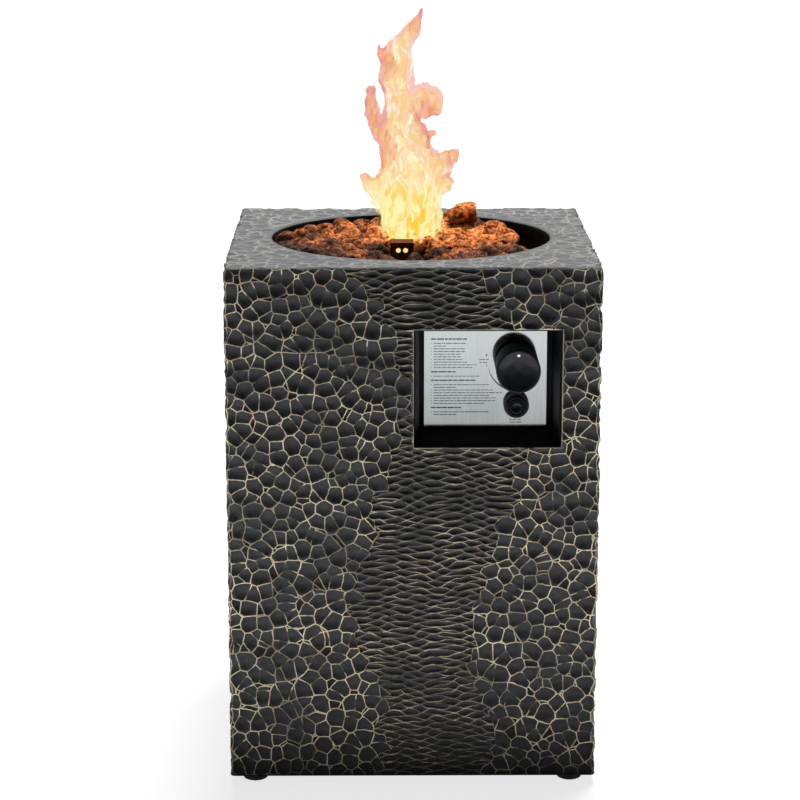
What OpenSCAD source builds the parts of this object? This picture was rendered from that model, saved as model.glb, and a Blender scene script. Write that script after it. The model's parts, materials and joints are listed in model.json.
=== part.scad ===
// Column gas fire pit: a cast square column with a round fire bowl let into its top,
// a recessed control panel on its front and a steel door on its back for the gas cylinder.
// Millimetres. X runs to the right, Y to the back, Z up. The origin is on the floor, in the
// middle of the four feet.

/* [Column] */
// Outside width and depth of the square column
column_w = 406; // [400:1:420]
// Height of the cast shell, without its feet
shell_h = 575; // [570:1:600]
// Thickness of the cast side walls
wall_t = 13; // [11:0.5:13]
// Thickness of the cast top
top_t = 16; // [14:0.5:18]
// Radius of the round opening in the top
mouth_r = 158; // [150:1:160]
// Radius of the column's upright corners
corner_r = 5; // [3:0.5:8]

/* [Control niche] */
// Width of the niche at the front face
niche_w = 160; // [155:1:165]
// Height of the niche at the front face
niche_h = 130; // [125:1:135]
// Distance of the niche's middle to the right of the column's middle
niche_x = 80.5; // [78:0.5:82]
// Distance from the column's top edge down to the niche
niche_drop = 68; // [66:1:74]
// Depth of the niche, from the front face to its back wall
niche_depth = 54; // [52:1:56]
// How far each wall of the niche leans in over that depth
niche_lean = 8.2; // [6:0.2:9]

/* [Controls] */
// Radius of the gas knob
knob_r = 24; // [20:0.5:25]
// Length of the gas knob
knob_len = 42; // [36:1:44]
// Distance of the knob and the igniter to the right of the column's middle
controls_x = 113.5; // [112:0.5:115]
// Distance from the column's top edge down to the knob's axis
knob_drop = 115; // [114:0.5:116]
// Distance from the knob's axis down to the igniter's axis
igniter_drop = 46.5; // [44:0.5:48]
// How far the knob can be pushed in
knob_travel = 3; // [2:0.5:3]
// How far the igniter button can be pushed in
button_travel = 4; // [2:0.5:4]

/* [Fire bowl] */
// Inside radius of the bowl at its rim
bowl_rim_r = 162; // [160:0.5:164]
// Inside radius of the bowl at its floor
bowl_floor_r = 150; // [146:0.5:151]
// Depth of the bowl below the cast top
bowl_depth = 54.6; // [50:0.2:55]
// Radius of the ring burner, to the middle of its tube
ring_r = 75; // [70:1:80]
// Radius of the ring burner's tube
ring_tube_r = 8; // [7:0.5:9]

/* [Lava rock] */
// Distance between the middles of neighbouring rocks
rock_pitch = 28; // [27:0.5:30]
// Share of the pitch that the largest rock fills
rock_fill = 0.98; // [0.9:0.01:0.99]
// Seed of the rocks' shapes
rock_seed = 11; // [1:1:99]

/* [Rear door] */
// Width of the opening in the rear wall
door_w = 320; // [310:1:330]
// Height of the opening in the rear wall
door_h = 450; // [430:1:455]
// Height of the sill under the door, above the shell's lower edge
sill_h = 30; // [30:1:40]

/* [Feet and tray] */
// Height of the rubber feet
foot_h = 11; // [9:0.5:14]
// Radius of the rubber feet where they meet the column
foot_r = 15; // [13:0.5:16]
// Distance from the column's sides to the middle of a foot
foot_inset = 27; // [26:0.5:30]
// Inside radius of the ring that locates the cylinder's foot
tank_ring_r = 106; // [104:0.5:110]

/* [Hidden] */
$fn = 64;

eps = 0.5;              // how far a cutting shape runs past the face that it cuts
gap = 0.05;             // radial clearance of a running or sliding fit
touch = 0.1;            // air between two pieces that come face to face
sheet = 1.2;            // thickness of the folded sheet steel
half = column_w / 2;
inner = half - wall_t;
shell_top = foot_h + shell_h;
cavity_top = shell_top - top_t;

niche_top = shell_top - niche_drop;
niche_z = niche_top - niche_h / 2;
panel_y = -half + niche_depth;          // front face of the niche's back wall
panel_back_y = panel_y + sheet;
label_t = 0.8;
label_y = panel_y - label_t;
label_w = 134;
label_h = 106.6;
label_margin_left = 4;
label_margin_top = 4;
box_flange = 15;

knob_x = controls_x;
knob_z = shell_top - knob_drop;
knob_front_y = -half + 5;
knob_back_y = knob_front_y + knob_len;
igniter_z = knob_z - igniter_drop;

pan_t = 1.4;
pan_floor_z = cavity_top - bowl_depth;
pan_flange_r = 178;
pan_screw_r = 170;
ring_z = pan_floor_z + 14;
nipple_r = 10.4;
gas_z = knob_z;                         // height of the pipework under the bowl

door_z0 = foot_h + sill_h;
door_z1 = door_z0 + door_h;
frame_t = 2;
hinge_x = -door_w / 2 + 5.2;
hinge_y = half - 4;
hinge_r = 3;
hinge_pin_r = 1.5;
hinge_len = 40;
hinge_zs = [door_z0 + 60, door_z1 - 60 - hinge_len];
door_skin_y = half - 7;
door_left = hinge_x + hinge_r + 1.2;
door_right = door_w / 2 - 6;
door_low = door_z0 + 5;
door_high = door_z1 - 5;
door_depth = 12;
lip = 14;
catch_z = (door_z0 + door_z1) / 2;

foot_xy = half - foot_inset;
bracket_size = 50;
bracket_t = 3;
bracket_rise = 14.5;
tray_z = foot_h + bracket_t;
tray_t = 2;

m4_r = 2;
m4_head_r = 3.8;
m4_head_h = 2.2;

corner_signs = [[-1, -1], [1, -1], [-1, 1], [1, 1]];

// ---------------------------------------------------------------- helpers

// A box between two corners
module block(low, high) { translate(low) cube(high - low); }

// Round bars along each axis
module bar_x(x0, x1, y, z, r) { translate([x0, y, z]) rotate([0, 90, 0]) cylinder(h = x1 - x0, r = r); }
module bar_y(x, y0, y1, z, r) { translate([x, y0, z]) rotate([-90, 0, 0]) cylinder(h = y1 - y0, r = r); }
module bar_z(x, y, z0, z1, r) { translate([x, y, z0]) cylinder(h = z1 - z0, r = r); }

// Hexagon bars, by their width across flats
module hex_x(x0, x1, y, z, flats) {
    translate([x0, y, z]) rotate([0, 90, 0]) cylinder(h = x1 - x0, r = flats / sqrt(3), $fn = 6);
}
module hex_y(x, y0, y1, z, flats) {
    translate([x, y0, z]) rotate([-90, 0, 0]) cylinder(h = y1 - y0, r = flats / sqrt(3), $fn = 6);
}
module hex_z(x, y, z0, z1, flats) { translate([x, y, z0]) cylinder(h = z1 - z0, r = flats / sqrt(3), $fn = 6); }

// The outline of a square with round corners, as points on four quarter arcs
corner_steps = 6;
function rounded_square(w, r) = [
    for (q = [0 : 3], i = [0 : corner_steps])
        let (a = 90 * q + 90 * i / corner_steps, c = w / 2 - r,
             sx = (q == 0 || q == 3) ? 1 : -1, sy = (q < 2) ? 1 : -1)
        [sx * c + r * cos(a), sy * c + r * sin(a)]
];

// The niche's tapered space between two depths, grown on every side
function niche_half(y, size, grow) = size / 2 - niche_lean * (y + half) / niche_depth + grow;
function niche_ring(y, grow) = [
    for (s = [[-1, -1], [1, -1], [1, 1], [-1, 1]])
        [niche_x + s[0] * niche_half(y, niche_w, grow), y, niche_z + s[1] * niche_half(y, niche_h, grow)]
];
module niche_taper(y0, y1, grow) {
    polyhedron(
        points = concat(niche_ring(y0, grow), niche_ring(y1, grow)),
        faces = [[3, 2, 1, 0], [4, 5, 6, 7], [0, 1, 5, 4], [1, 2, 6, 5], [2, 3, 7, 6], [3, 0, 4, 7]]);
}

// A tube swept along points; the ends are flat and square to the first and last run
function unit(v) = v / norm(v);
function run_at(p, i) = unit(p[min(i + 1, len(p) - 1)] - p[max(i - 1, 0)]);
function end_run(p, i) = i == 0 ? unit(p[1] - p[0])
    : i == len(p) - 1 ? unit(p[i] - p[i - 1]) : run_at(p, i);
sweep_up = [0.53, -0.35, 0.77];
module sweep_tube(p, r, sides) {
    n = len(p);
    points = [
        for (i = [0 : n - 1])
            let (t = end_run(p, i), u = unit(cross(t, sweep_up)), v = cross(t, u))
            for (k = [0 : sides - 1]) p[i] + r * (cos(360 * k / sides) * u + sin(360 * k / sides) * v)
    ];
    side_faces = [
        for (i = [0 : n - 2], k = [0 : sides - 1], half_quad = [0, 1])
            let (a = i * sides + k, b = i * sides + (k + 1) % sides)
            half_quad == 0 ? [a, b, b + sides] : [a, b + sides, a + sides]
    ];
    first_cap = [[for (k = [sides - 1 : -1 : 0]) k]];
    last_cap = [[for (k = [0 : sides - 1]) (n - 1) * sides + k]];
    polyhedron(points = points, faces = concat(side_faces, first_cap, last_cap));
}

// A smooth curve through hand-set points
function spline_at(a, b, c, d, t) =
    0.5 * (2 * b + (c - a) * t + (2 * a - 5 * b + 4 * c - d) * t * t + (3 * b - a - 3 * c + d) * t * t * t);
function smooth_route(p, steps) = concat([
    for (i = [0 : len(p) - 2], s = [0 : steps - 1])
        spline_at(p[max(i - 1, 0)], p[i], p[i + 1], p[min(i + 2, len(p) - 1)], s / steps)
], [p[len(p) - 1]]);

// A coil spring along Y
coil_steps = 14;
module coil_y(x, z, y0, y1, r, wire_r, turns) {
    reach = (y1 - y0) - 2 * wire_r;
    sweep_tube([
        for (i = [0 : turns * coil_steps])
            [x + r * cos(360 * i / coil_steps), y0 + wire_r + reach * i / (turns * coil_steps),
             z + r * sin(360 * i / coil_steps)]
    ], wire_r, 6);
}

// A pan-head screw: its head stands on the origin and its shank runs down
module screw_down(r, length) {
    cylinder(h = m4_head_h, r = m4_head_r);
    translate([0, 0, -length]) cylinder(h = length + eps, r = r);
}

// ---------------------------------------------------------------- column

pan_screw_angles = [45, 135, 225, 315];
box_screw_dx = niche_w / 2 + box_flange / 2;
box_screw_dz = niche_h / 2 + box_flange / 2;
frame_flange = 15;
frame_screw_x = door_w / 2 + 8;
frame_screw_zs = [door_z0 + 20, (door_z0 + door_z1) / 2 + 45, door_z1 - 20];
blind_r = 1.6;
blind_depth = 8;

module column_shell() {
    color("dimgray") difference() {
        translate([0, 0, foot_h]) linear_extrude(shell_h) polygon(rounded_square(column_w, corner_r));
        block([-inner, -inner, foot_h - eps], [inner, inner, cavity_top]);
        bar_z(0, 0, cavity_top - eps, shell_top + eps, mouth_r);
        niche_taper(-half - eps, -inner + eps, 0);
        block([-door_w / 2, inner - eps, door_z0], [door_w / 2, half + eps, door_z1]);
        for (a = pan_screw_angles)
            rotate([0, 0, a]) bar_z(pan_screw_r, 0, cavity_top - eps, cavity_top + blind_depth, blind_r + gap);
        for (s = corner_signs)
            bar_y(niche_x + s[0] * box_screw_dx, -inner - blind_depth, -inner + eps,
                niche_z + s[1] * box_screw_dz, blind_r + gap);
        for (sx = [-1, 1], z = frame_screw_zs)
            bar_y(sx * frame_screw_x, inner - eps, inner + blind_depth, z, blind_r + gap);
        for (s = corner_signs) bracket_wall_holes(s);
    }
}

// ---------------------------------------------------------------- feet, brackets and tray

foot_screw_head_z = 5;
bracket_screw_in = 30;
bracket_screw_z = foot_h + 9.5;
tray_screw_xy = inner - 25;

module foot(s) {
    color([0.06, 0.06, 0.06]) translate([s[0] * foot_xy, s[1] * foot_xy, 0]) difference() {
        rotate_extrude() polygon([[0, 0], [foot_r - 3.4, 0], [foot_r - 1.6, 1], [foot_r - 0.4, 4],
            [foot_r, foot_h], [0, foot_h]]);
        translate([0, 0, -eps]) cylinder(h = foot_screw_head_z + eps, r = 5);
        translate([0, 0, -eps]) cylinder(h = foot_h + 2 * eps, r = m4_r + 0.3);
    }
}

module foot_screws() {
    color("silver") for (s = corner_signs)
        translate([s[0] * foot_xy, s[1] * foot_xy, 0]) {
            translate([0, 0, foot_screw_head_z - m4_head_h]) cylinder(h = m4_head_h, r = m4_head_r);
            translate([0, 0, foot_screw_head_z - eps])
                cylinder(h = foot_h + bracket_t - foot_screw_head_z, r = m4_r);
        }
}

// The two screws that hold one bracket to the walls of its corner
module bracket_screw_pair(s, r, start, length) {
    at = inner - bracket_screw_in;
    translate([s[0] * start, s[1] * at, bracket_screw_z]) rotate([0, s[0] * 90, 0]) cylinder(h = length, r = r);
    translate([s[0] * at, s[1] * start, bracket_screw_z]) rotate([-s[1] * 90, 0, 0]) cylinder(h = length, r = r);
}
module bracket_wall_holes(s) { bracket_screw_pair(s, blind_r + gap, inner - eps, blind_depth + eps); }

bracket_gap = 0.2;
module bracket(s) {
    out = inner - bracket_gap;
    color("darkslategray") difference() {
        mirror([s[0] < 0 ? 1 : 0, 0, 0]) mirror([0, s[1] < 0 ? 1 : 0, 0]) union() {
            block([out - bracket_size, out - bracket_size, foot_h], [out, out, foot_h + bracket_t]);
            block([out - bracket_t, out - bracket_size, foot_h], [out, out, foot_h + bracket_rise]);
            block([out - bracket_size, out - bracket_t, foot_h], [out, out, foot_h + bracket_rise]);
        }
        bar_z(s[0] * foot_xy, s[1] * foot_xy, foot_h - eps, foot_h + bracket_t + eps, m4_r + gap);
        bar_z(s[0] * tray_screw_xy, s[1] * tray_screw_xy, foot_h - eps, foot_h + bracket_t + eps, m4_r + gap);
        bracket_screw_pair(s, blind_r + gap, out - bracket_t - eps, bracket_t + 2 * eps);
    }
}

module bracket_screws() {
    face = inner - bracket_gap - bracket_t;
    color("silver") for (s = corner_signs) {
        bracket_screw_pair(s, blind_r, face - eps, bracket_t + bracket_gap + blind_depth);
        bracket_screw_pair(s, m4_head_r, face - m4_head_h, m4_head_h);
    }
}

tray_half = inner - 4;
tray_mouth_r = 88;
tank_ring_h = 12;
vent_hole_r = 20;
vent_hole_at = 150;
module tank_tray() {
    color("darkslategray") difference() {
        union() {
            block([-tray_half, -tray_half, tray_z], [tray_half, tray_half, tray_z + tray_t]);
            bar_z(0, 10, tray_z, tray_z + tray_t + tank_ring_h, tank_ring_r + 2);
        }
        bar_z(0, 10, tray_z - eps, tray_z + tray_t + tank_ring_h, tray_mouth_r);
        bar_z(0, 10, tray_z + tray_t, tray_z + tray_t + tank_ring_h + eps, tank_ring_r);
        for (a = [0 : 90 : 270]) rotate([0, 0, a])
            bar_z(vent_hole_at, 0, tray_z - eps, tray_z + tray_t + eps, vent_hole_r);
        for (s = corner_signs)
            bar_z(s[0] * tray_screw_xy, s[1] * tray_screw_xy, tray_z - eps, tray_z + tray_t + eps, m4_r + gap);
    }
}

module tray_screws() {
    color("silver") for (s = corner_signs)
        translate([s[0] * tray_screw_xy, s[1] * tray_screw_xy, tray_z + tray_t])
            screw_down(m4_r, tray_t + bracket_t - touch);
}

// ---------------------------------------------------------------- rear door

module door_frame() {
    flange_y0 = inner - 1.5;
    color("black") difference() {
        union() {
            block([-door_w / 2 + touch, flange_y0, door_z0 + touch],
                [door_w / 2 - touch, half - 0.5, door_z1 - touch]);
            block([-door_w / 2 - frame_flange, flange_y0, door_z0 - frame_flange],
                [door_w / 2 + frame_flange, inner, door_z1 + frame_flange]);
        }
        block([-door_w / 2 + frame_t, flange_y0 - eps, door_z0 + frame_t],
            [door_w / 2 - frame_t, half + eps, door_z1 - frame_t]);
        for (sx = [-1, 1], z = frame_screw_zs)
            bar_y(sx * frame_screw_x, flange_y0 - eps, inner + eps, z, blind_r + gap);
    }
}

module door_frame_screws() {
    face = inner - 1.5;
    color("silver") for (sx = [-1, 1], z = frame_screw_zs) {
        bar_y(sx * frame_screw_x, face - m4_head_h, face, z, m4_head_r);
        bar_y(sx * frame_screw_x, face - eps, inner + blind_depth - eps, z, blind_r);
    }
}

louvre_w = 84;
louvre_h = 3.6;
louvre_pitch = 13;
louvre_count = 5;
louvre_columns = [-52, 56];
louvre_groups = [door_low + 48, door_high - 48 - louvre_pitch * (louvre_count - 1)];
pull_x = door_right - 26;
pull_r = 11;

module door_panel() {
    inside_y = door_skin_y - door_depth;
    color("black") difference() {
        block([door_left, inside_y, door_low], [door_right, door_skin_y, door_high]);
        block([door_left + sheet, inside_y + sheet, door_low + sheet],
            [door_right - sheet, door_skin_y - sheet, door_high - sheet]);
        block([door_left + lip, inside_y - eps, door_low + lip],
            [door_right - lip, inside_y + sheet + eps, door_high - lip]);
        for (x = louvre_columns, z = louvre_groups, i = [0 : louvre_count - 1])
            block([x - louvre_w / 2, door_skin_y - sheet - eps, z + louvre_pitch * i],
                [x + louvre_w / 2, door_skin_y + eps, z + louvre_pitch * i + louvre_h]);
        bar_y(pull_x, door_skin_y - sheet - eps, door_skin_y + eps, catch_z, m4_r + gap);
    }
}

pull_h = 6.4;
module door_pull() {
    color("silver") union() {
        bar_y(pull_x, door_skin_y, door_skin_y + 3, catch_z, 6);
        bar_y(pull_x, door_skin_y + 2.4, door_skin_y + pull_h, catch_z, pull_r);
        bar_y(pull_x, door_skin_y - sheet - 2, door_skin_y + eps, catch_z, m4_r);
        bar_y(pull_x, door_skin_y - sheet - touch - 3, door_skin_y - sheet - touch, catch_z, 4.5);
    }
}

strike_t = 1;
module door_strike() {
    y1 = door_skin_y - door_depth;
    color("silver") block([door_right - 13, y1 - strike_t, catch_z - 20], [door_right - 1, y1, catch_z + 20]);
}

module magnetic_catch() {
    face_y = door_skin_y - door_depth - strike_t - 0.3;
    color("black") union() {
        block([door_right - 13, face_y - 14, catch_z - 23], [frame_screw_x + 4, face_y, catch_z + 23]);
        block([door_w / 2 + 1, face_y - 14, catch_z - 23], [frame_screw_x + 4, inner - 1.5, catch_z + 23]);
    }
}

knuckle = hinge_len / 3;
knuckle_gap = 0.3;
leaf_t = 1.2;
leaf_clear = hinge_r + 0.4;
// The frame's leaf carries the two outer knuckles
module hinge_frame_leaf(z) {
    x0 = -door_w / 2 + frame_t;
    color("silver") difference() {
        union() {
            block([x0, inner, z], [x0 + leaf_t, hinge_y - leaf_clear, z + hinge_len]);
            for (k = [0, 2]) {
                block([x0, inner, z + k * knuckle], [x0 + leaf_t, hinge_y, z + (k + 1) * knuckle]);
                bar_z(hinge_x, hinge_y, z + k * knuckle, z + (k + 1) * knuckle, hinge_r);
            }
        }
        bar_z(hinge_x, hinge_y, z - eps, z + hinge_len + eps, hinge_pin_r + gap);
    }
}
// The door's leaf carries the middle knuckle
module hinge_door_leaf(z) {
    x1 = door_left;
    z0 = z + knuckle + knuckle_gap;
    z1 = z + 2 * knuckle - knuckle_gap;
    color("silver") difference() {
        union() {
            block([x1 - leaf_t, door_skin_y - door_depth, z], [x1, hinge_y - leaf_clear, z + hinge_len]);
            block([x1 - leaf_t, door_skin_y - door_depth, z0], [x1, hinge_y, z1]);
            block([hinge_x, hinge_y - 1.2, z0], [x1, hinge_y, z1]);
            bar_z(hinge_x, hinge_y, z0, z1, hinge_r);
        }
        bar_z(hinge_x, hinge_y, z - eps, z + hinge_len + eps, hinge_pin_r + gap);
    }
}
module hinge_pin(z) {
    color("silver") union() {
        bar_z(hinge_x, hinge_y, z - 0.8, z + hinge_len + 0.5, hinge_pin_r);
        bar_z(hinge_x, hinge_y, z + hinge_len + touch, z + hinge_len + 1.6, 2.4);
    }
}

// ---------------------------------------------------------------- control niche

stem_hole_r = 9;
igniter_hole_r = 11.2;
valve_screw_dx = 18;

module control_box() {
    color("black") difference() {
        union() {
            niche_taper(-inner, panel_back_y, sheet);
            block([niche_x - niche_w / 2 - box_flange, -inner, niche_z - niche_h / 2 - box_flange],
                [niche_x + niche_w / 2 + box_flange, -inner + sheet, niche_z + niche_h / 2 + box_flange]);
        }
        niche_taper(-inner - eps, panel_y, 0);
        bar_y(knob_x, panel_y - eps, panel_back_y + eps, knob_z, stem_hole_r);
        bar_y(knob_x, panel_y - eps, panel_back_y + eps, igniter_z, igniter_hole_r);
        for (sx = [-1, 1])
            bar_y(knob_x + sx * valve_screw_dx, panel_y - eps, panel_back_y + eps, knob_z, m4_r + gap);
        for (s = corner_signs)
            bar_y(niche_x + s[0] * box_screw_dx, -inner - eps, -inner + sheet + eps,
                niche_z + s[1] * box_screw_dz, blind_r + gap);
    }
}

module control_box_screws() {
    face = -inner + sheet;
    color("silver") for (s = corner_signs) {
        x = niche_x + s[0] * box_screw_dx;
        z = niche_z + s[1] * box_screw_dz;
        bar_y(x, face, face + m4_head_h, z, m4_head_r);
        bar_y(x, -inner - blind_depth + eps, face + eps, z, blind_r);
    }
}

module label_plate() {
    x0 = niche_x - niche_half(panel_y, niche_w, 0) + label_margin_left;
    z1 = niche_z + niche_half(panel_y, niche_h, 0) - label_margin_top;
    color("gainsboro") difference() {
        block([x0, label_y, z1 - label_h], [x0 + label_w, panel_y, z1]);
        bar_y(knob_x, label_y - eps, panel_y + eps, knob_z, stem_hole_r);
        bar_y(knob_x, label_y - eps, panel_y + eps, igniter_z, igniter_hole_r);
        for (sx = [-1, 1])
            bar_y(knob_x + sx * valve_screw_dx, label_y - eps, panel_y + eps, knob_z, m4_r + gap);
    }
}

// ---------------------------------------------------------------- knob and valve

stem_r = 4;
stem_flat = 2.6;                        // distance from the stem's axis to its flat
stem_front_y = knob_front_y + 8;
stem_tail_y = panel_back_y + 20.8;
collar_y = panel_back_y + 6.8;
plug_y0 = panel_back_y + 16.8;
plug_y1 = panel_back_y + 31.3;
chamber_r = 7;
chamber_y0 = collar_y - 0.5;
barrel_r = 13;
barrel_y1 = panel_back_y + 37.8;
port_y = panel_back_y + 27.8;
pointer_at = 17.8;
pointer_r = 1.7;
dish = 1.2;

// The stem's round section, with a flat on its upper side
module d_bar(y0, y1, r) {
    difference() {
        bar_y(knob_x, y0, y1, knob_z, r);
        block([knob_x - r - 1, y0 - eps, knob_z + stem_flat + (r - stem_r)],
            [knob_x + r + 1, y1 + eps, knob_z + r + 1]);
    }
}

module gas_knob() {
    edge = 1.6;
    bore_r = 9;
    color([0.05, 0.05, 0.06]) difference() {
        translate([knob_x, knob_front_y, knob_z]) rotate([-90, 0, 0]) rotate_extrude()
            polygon([[0, dish], [knob_r - 3, 0.2], [knob_r - edge, 0], [knob_r - 0.4, 0.5], [knob_r, edge],
                [knob_r - 0.6, knob_len - 2], [knob_r - 1.2, knob_len], [0, knob_len]]);
        difference() {
            bar_y(knob_x, knob_front_y + 10, knob_back_y + eps, knob_z, knob_r - 4);
            bar_y(knob_x, knob_front_y + 9, knob_back_y - 4, knob_z, bore_r);
        }
        d_bar(stem_front_y - touch, knob_back_y + eps, stem_r + gap);
        bar_y(knob_x, knob_front_y - eps, knob_front_y + 1.6, knob_z + pointer_at, pointer_r + gap);
    }
}

module knob_pointer() {
    color("white") bar_y(knob_x, knob_front_y + 0.1, knob_front_y + 1.5, knob_z + pointer_at, pointer_r);
}

module valve_stem() {
    color("silver") union() {
        d_bar(stem_front_y, stem_tail_y, stem_r);
        difference() {
            bar_y(knob_x, collar_y, collar_y + 1, knob_z, 6.5);
            bar_y(knob_x, collar_y - eps, collar_y + 1 + eps, knob_z, 2);
        }
    }
}

module stem_spring() {
    color("lightsteelblue") coil_y(knob_x, knob_z, collar_y + 1 + touch, plug_y0 - touch, 5.3, 0.5, 5);
}

module valve_plug() {
    color("goldenrod") difference() {
        bar_y(knob_x, plug_y0, plug_y1, knob_z, chamber_r - gap);
        d_bar(plug_y0 - eps, plug_y0 + 8.5, stem_r + gap);
        bar_y(knob_x, plug_y0 + 8, plug_y1 + eps, knob_z, 2.4);
        bar_z(knob_x, port_y, knob_z, knob_z + chamber_r + eps, 2.4);
    }
}

inlet_boss_x = knob_x - 20;
sensor_port_y = panel_back_y + 19.8;
sensor_port_z = knob_z + 19;

module valve_body() {
    color("tan") difference() {
        union() {
            bar_y(knob_x, panel_back_y, barrel_y1, knob_z, barrel_r);
            block([knob_x - 25, panel_back_y, knob_z - 11], [knob_x + 25, panel_back_y + 3, knob_z + 11]);
            bar_y(knob_x, label_y - 3, panel_back_y + eps, knob_z, stem_hole_r - 0.5);
            bar_x(inlet_boss_x, knob_x, port_y, knob_z, 9);
            bar_z(knob_x, sensor_port_y, knob_z, sensor_port_z, 6);
        }
        bar_y(knob_x, chamber_y0, barrel_y1 + eps, knob_z, chamber_r);
        bar_y(knob_x, label_y - 3 - eps, chamber_y0 + eps, knob_z, stem_r + gap);
        bar_x(inlet_boss_x - eps, inlet_boss_x + 8.5, port_y, knob_z, 5.5 + gap);
        bar_x(inlet_boss_x + 8, knob_x, port_y, knob_z, 3);
        bar_z(knob_x, sensor_port_y, sensor_port_z - 8, sensor_port_z + eps, 3);
        for (sx = [-1, 1])
            bar_y(knob_x + sx * valve_screw_dx, panel_back_y - eps, panel_back_y + 3 + eps, knob_z, m4_r + gap);
    }
}

module valve_screws() {
    color("silver") for (sx = [-1, 1]) {
        x = knob_x + sx * valve_screw_dx;
        bar_y(x, label_y - m4_head_h, label_y, knob_z, 3.4);
        bar_y(x, label_y - eps, panel_back_y + 4, knob_z, m4_r);
    }
}

outlet_hex_y = barrel_y1;
outlet_tail_y = barrel_y1 + 7;
tube_start_y = barrel_y1 + 13;
module valve_outlet() {
    color("goldenrod") difference() {
        union() {
            bar_y(knob_x, plug_y1 + 0.2, outlet_hex_y + eps, knob_z, chamber_r - gap);
            hex_y(knob_x, outlet_hex_y, outlet_tail_y, knob_z, 18);
            bar_y(knob_x, outlet_tail_y - eps, tube_start_y, knob_z, 5);
        }
        bar_y(knob_x, plug_y1, tube_start_y + eps, knob_z, 2.4);
    }
}

inlet_thread_r = 7.94;
inlet_hex_x = inlet_boss_x - 7.5;
inlet_tip_x = inlet_hex_x - 16;
module gas_inlet_nipple() {
    color("goldenrod") difference() {
        union() {
            bar_x(inlet_hex_x, inlet_boss_x + 8, port_y, knob_z, 5.5);
            hex_x(inlet_hex_x, inlet_boss_x, port_y, knob_z, 19);
            bar_x(inlet_tip_x, inlet_hex_x + eps, port_y, knob_z, inlet_thread_r);
        }
        bar_x(inlet_tip_x - eps, inlet_boss_x + 8 + eps, port_y, knob_z, 3);
    }
}

// ---------------------------------------------------------------- pipework

tube_r = 4;
tube_bore_r = 3;
bend_r = 30;
orifice_x = 62;                         // shoulder of the orifice against the air mixer
tube_end_x = orifice_x + 14;

module tube_straight_y(y0, y1) {
    difference() {
        bar_y(knob_x, y0, y1, gas_z, tube_r);
        bar_y(knob_x, y0 - eps, y1 + eps, gas_z, tube_bore_r);
    }
}
module gas_tube() {
    bend_x = knob_x - bend_r;
    color("silver") union() {
        tube_straight_y(tube_start_y + touch, -bend_r);
        translate([bend_x, -bend_r, gas_z]) rotate_extrude(angle = 90) difference() {
            translate([bend_r, 0]) circle(r = tube_r);
            translate([bend_r, 0]) circle(r = tube_bore_r);
        }
        difference() {
            bar_x(tube_end_x + touch, bend_x, 0, gas_z, tube_r);
            bar_x(tube_end_x, bend_x + eps, 0, gas_z, tube_bore_r);
        }
    }
}

module tube_nuts() {
    color("goldenrod") {
        difference() {
            hex_y(knob_x, tube_start_y - 4, tube_start_y + 9, gas_z, 16);
            bar_y(knob_x, tube_start_y - 4 - eps, tube_start_y + touch, gas_z, 5 + gap);
            bar_y(knob_x, tube_start_y, tube_start_y + 9 + eps, gas_z, tube_r + gap);
        }
        difference() {
            hex_x(tube_end_x - 4, tube_end_x + 6, 0, gas_z, 16);
            bar_x(tube_end_x - 4 - eps, tube_end_x + touch, 0, gas_z, 5 + gap);
            bar_x(tube_end_x, tube_end_x + 6 + eps, 0, gas_z, tube_r + gap);
        }
    }
}

module gas_orifice() {
    color("goldenrod") difference() {
        union() {
            bar_x(orifice_x - 6, orifice_x + eps, 0, gas_z, 5);
            hex_x(orifice_x, orifice_x + 8, 0, gas_z, 14);
            bar_x(orifice_x + 8 - eps, tube_end_x, 0, gas_z, 5);
        }
        bar_x(orifice_x - 2, tube_end_x + eps, 0, gas_z, 2.4);
        bar_x(orifice_x - 6 - eps, orifice_x - 2 + eps, 0, gas_z, 0.7);
    }
}

mixer_r = 12;
mixer_x = 24;
module air_mixer() {
    color("silver") difference() {
        union() {
            bar_x(mixer_x - 12, mixer_x + eps, 0, gas_z, 9);
            bar_x(mixer_x, orifice_x, 0, gas_z, mixer_r);
        }
        bar_x(mixer_x - 12 - eps, orifice_x - 7, 0, gas_z, 6.5);
        bar_x(orifice_x - 7.5, orifice_x + eps, 0, gas_z, 5 + gap);
        bar_z(mixer_x + 20, 0, gas_z - mixer_r - eps, gas_z + mixer_r + eps, 4);
        bar_y(mixer_x + 20, -mixer_r - eps, mixer_r + eps, gas_z, 4);
    }
}

elbow_r = 14;
nipple_end_z = gas_z + 17;
module burner_elbow() {
    color("goldenrod") difference() {
        union() {
            bar_z(0, 0, gas_z, nipple_end_z + 12, elbow_r);
            bar_x(0, mixer_x - touch, 0, gas_z, elbow_r);
            translate([0, 0, gas_z]) sphere(r = elbow_r + 1);
        }
        bar_z(0, 0, nipple_end_z, nipple_end_z + 12 + eps, nipple_r + gap);
        bar_z(0, 0, gas_z, nipple_end_z + eps, 7);
        bar_x(0, mixer_x - 12 + eps, 0, gas_z, 7);
        bar_x(mixer_x - 12 - touch, mixer_x + eps, 0, gas_z, 9 + gap);
    }
}

// ---------------------------------------------------------------- burner and bowl

module burner_locknut() {
    z1 = pan_floor_z - pan_t;
    color("silver") difference() {
        hex_z(0, 0, z1 - 8, z1, 30);
        bar_z(0, 0, z1 - 8 - eps, z1 + eps, nipple_r + gap);
    }
}

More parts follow.
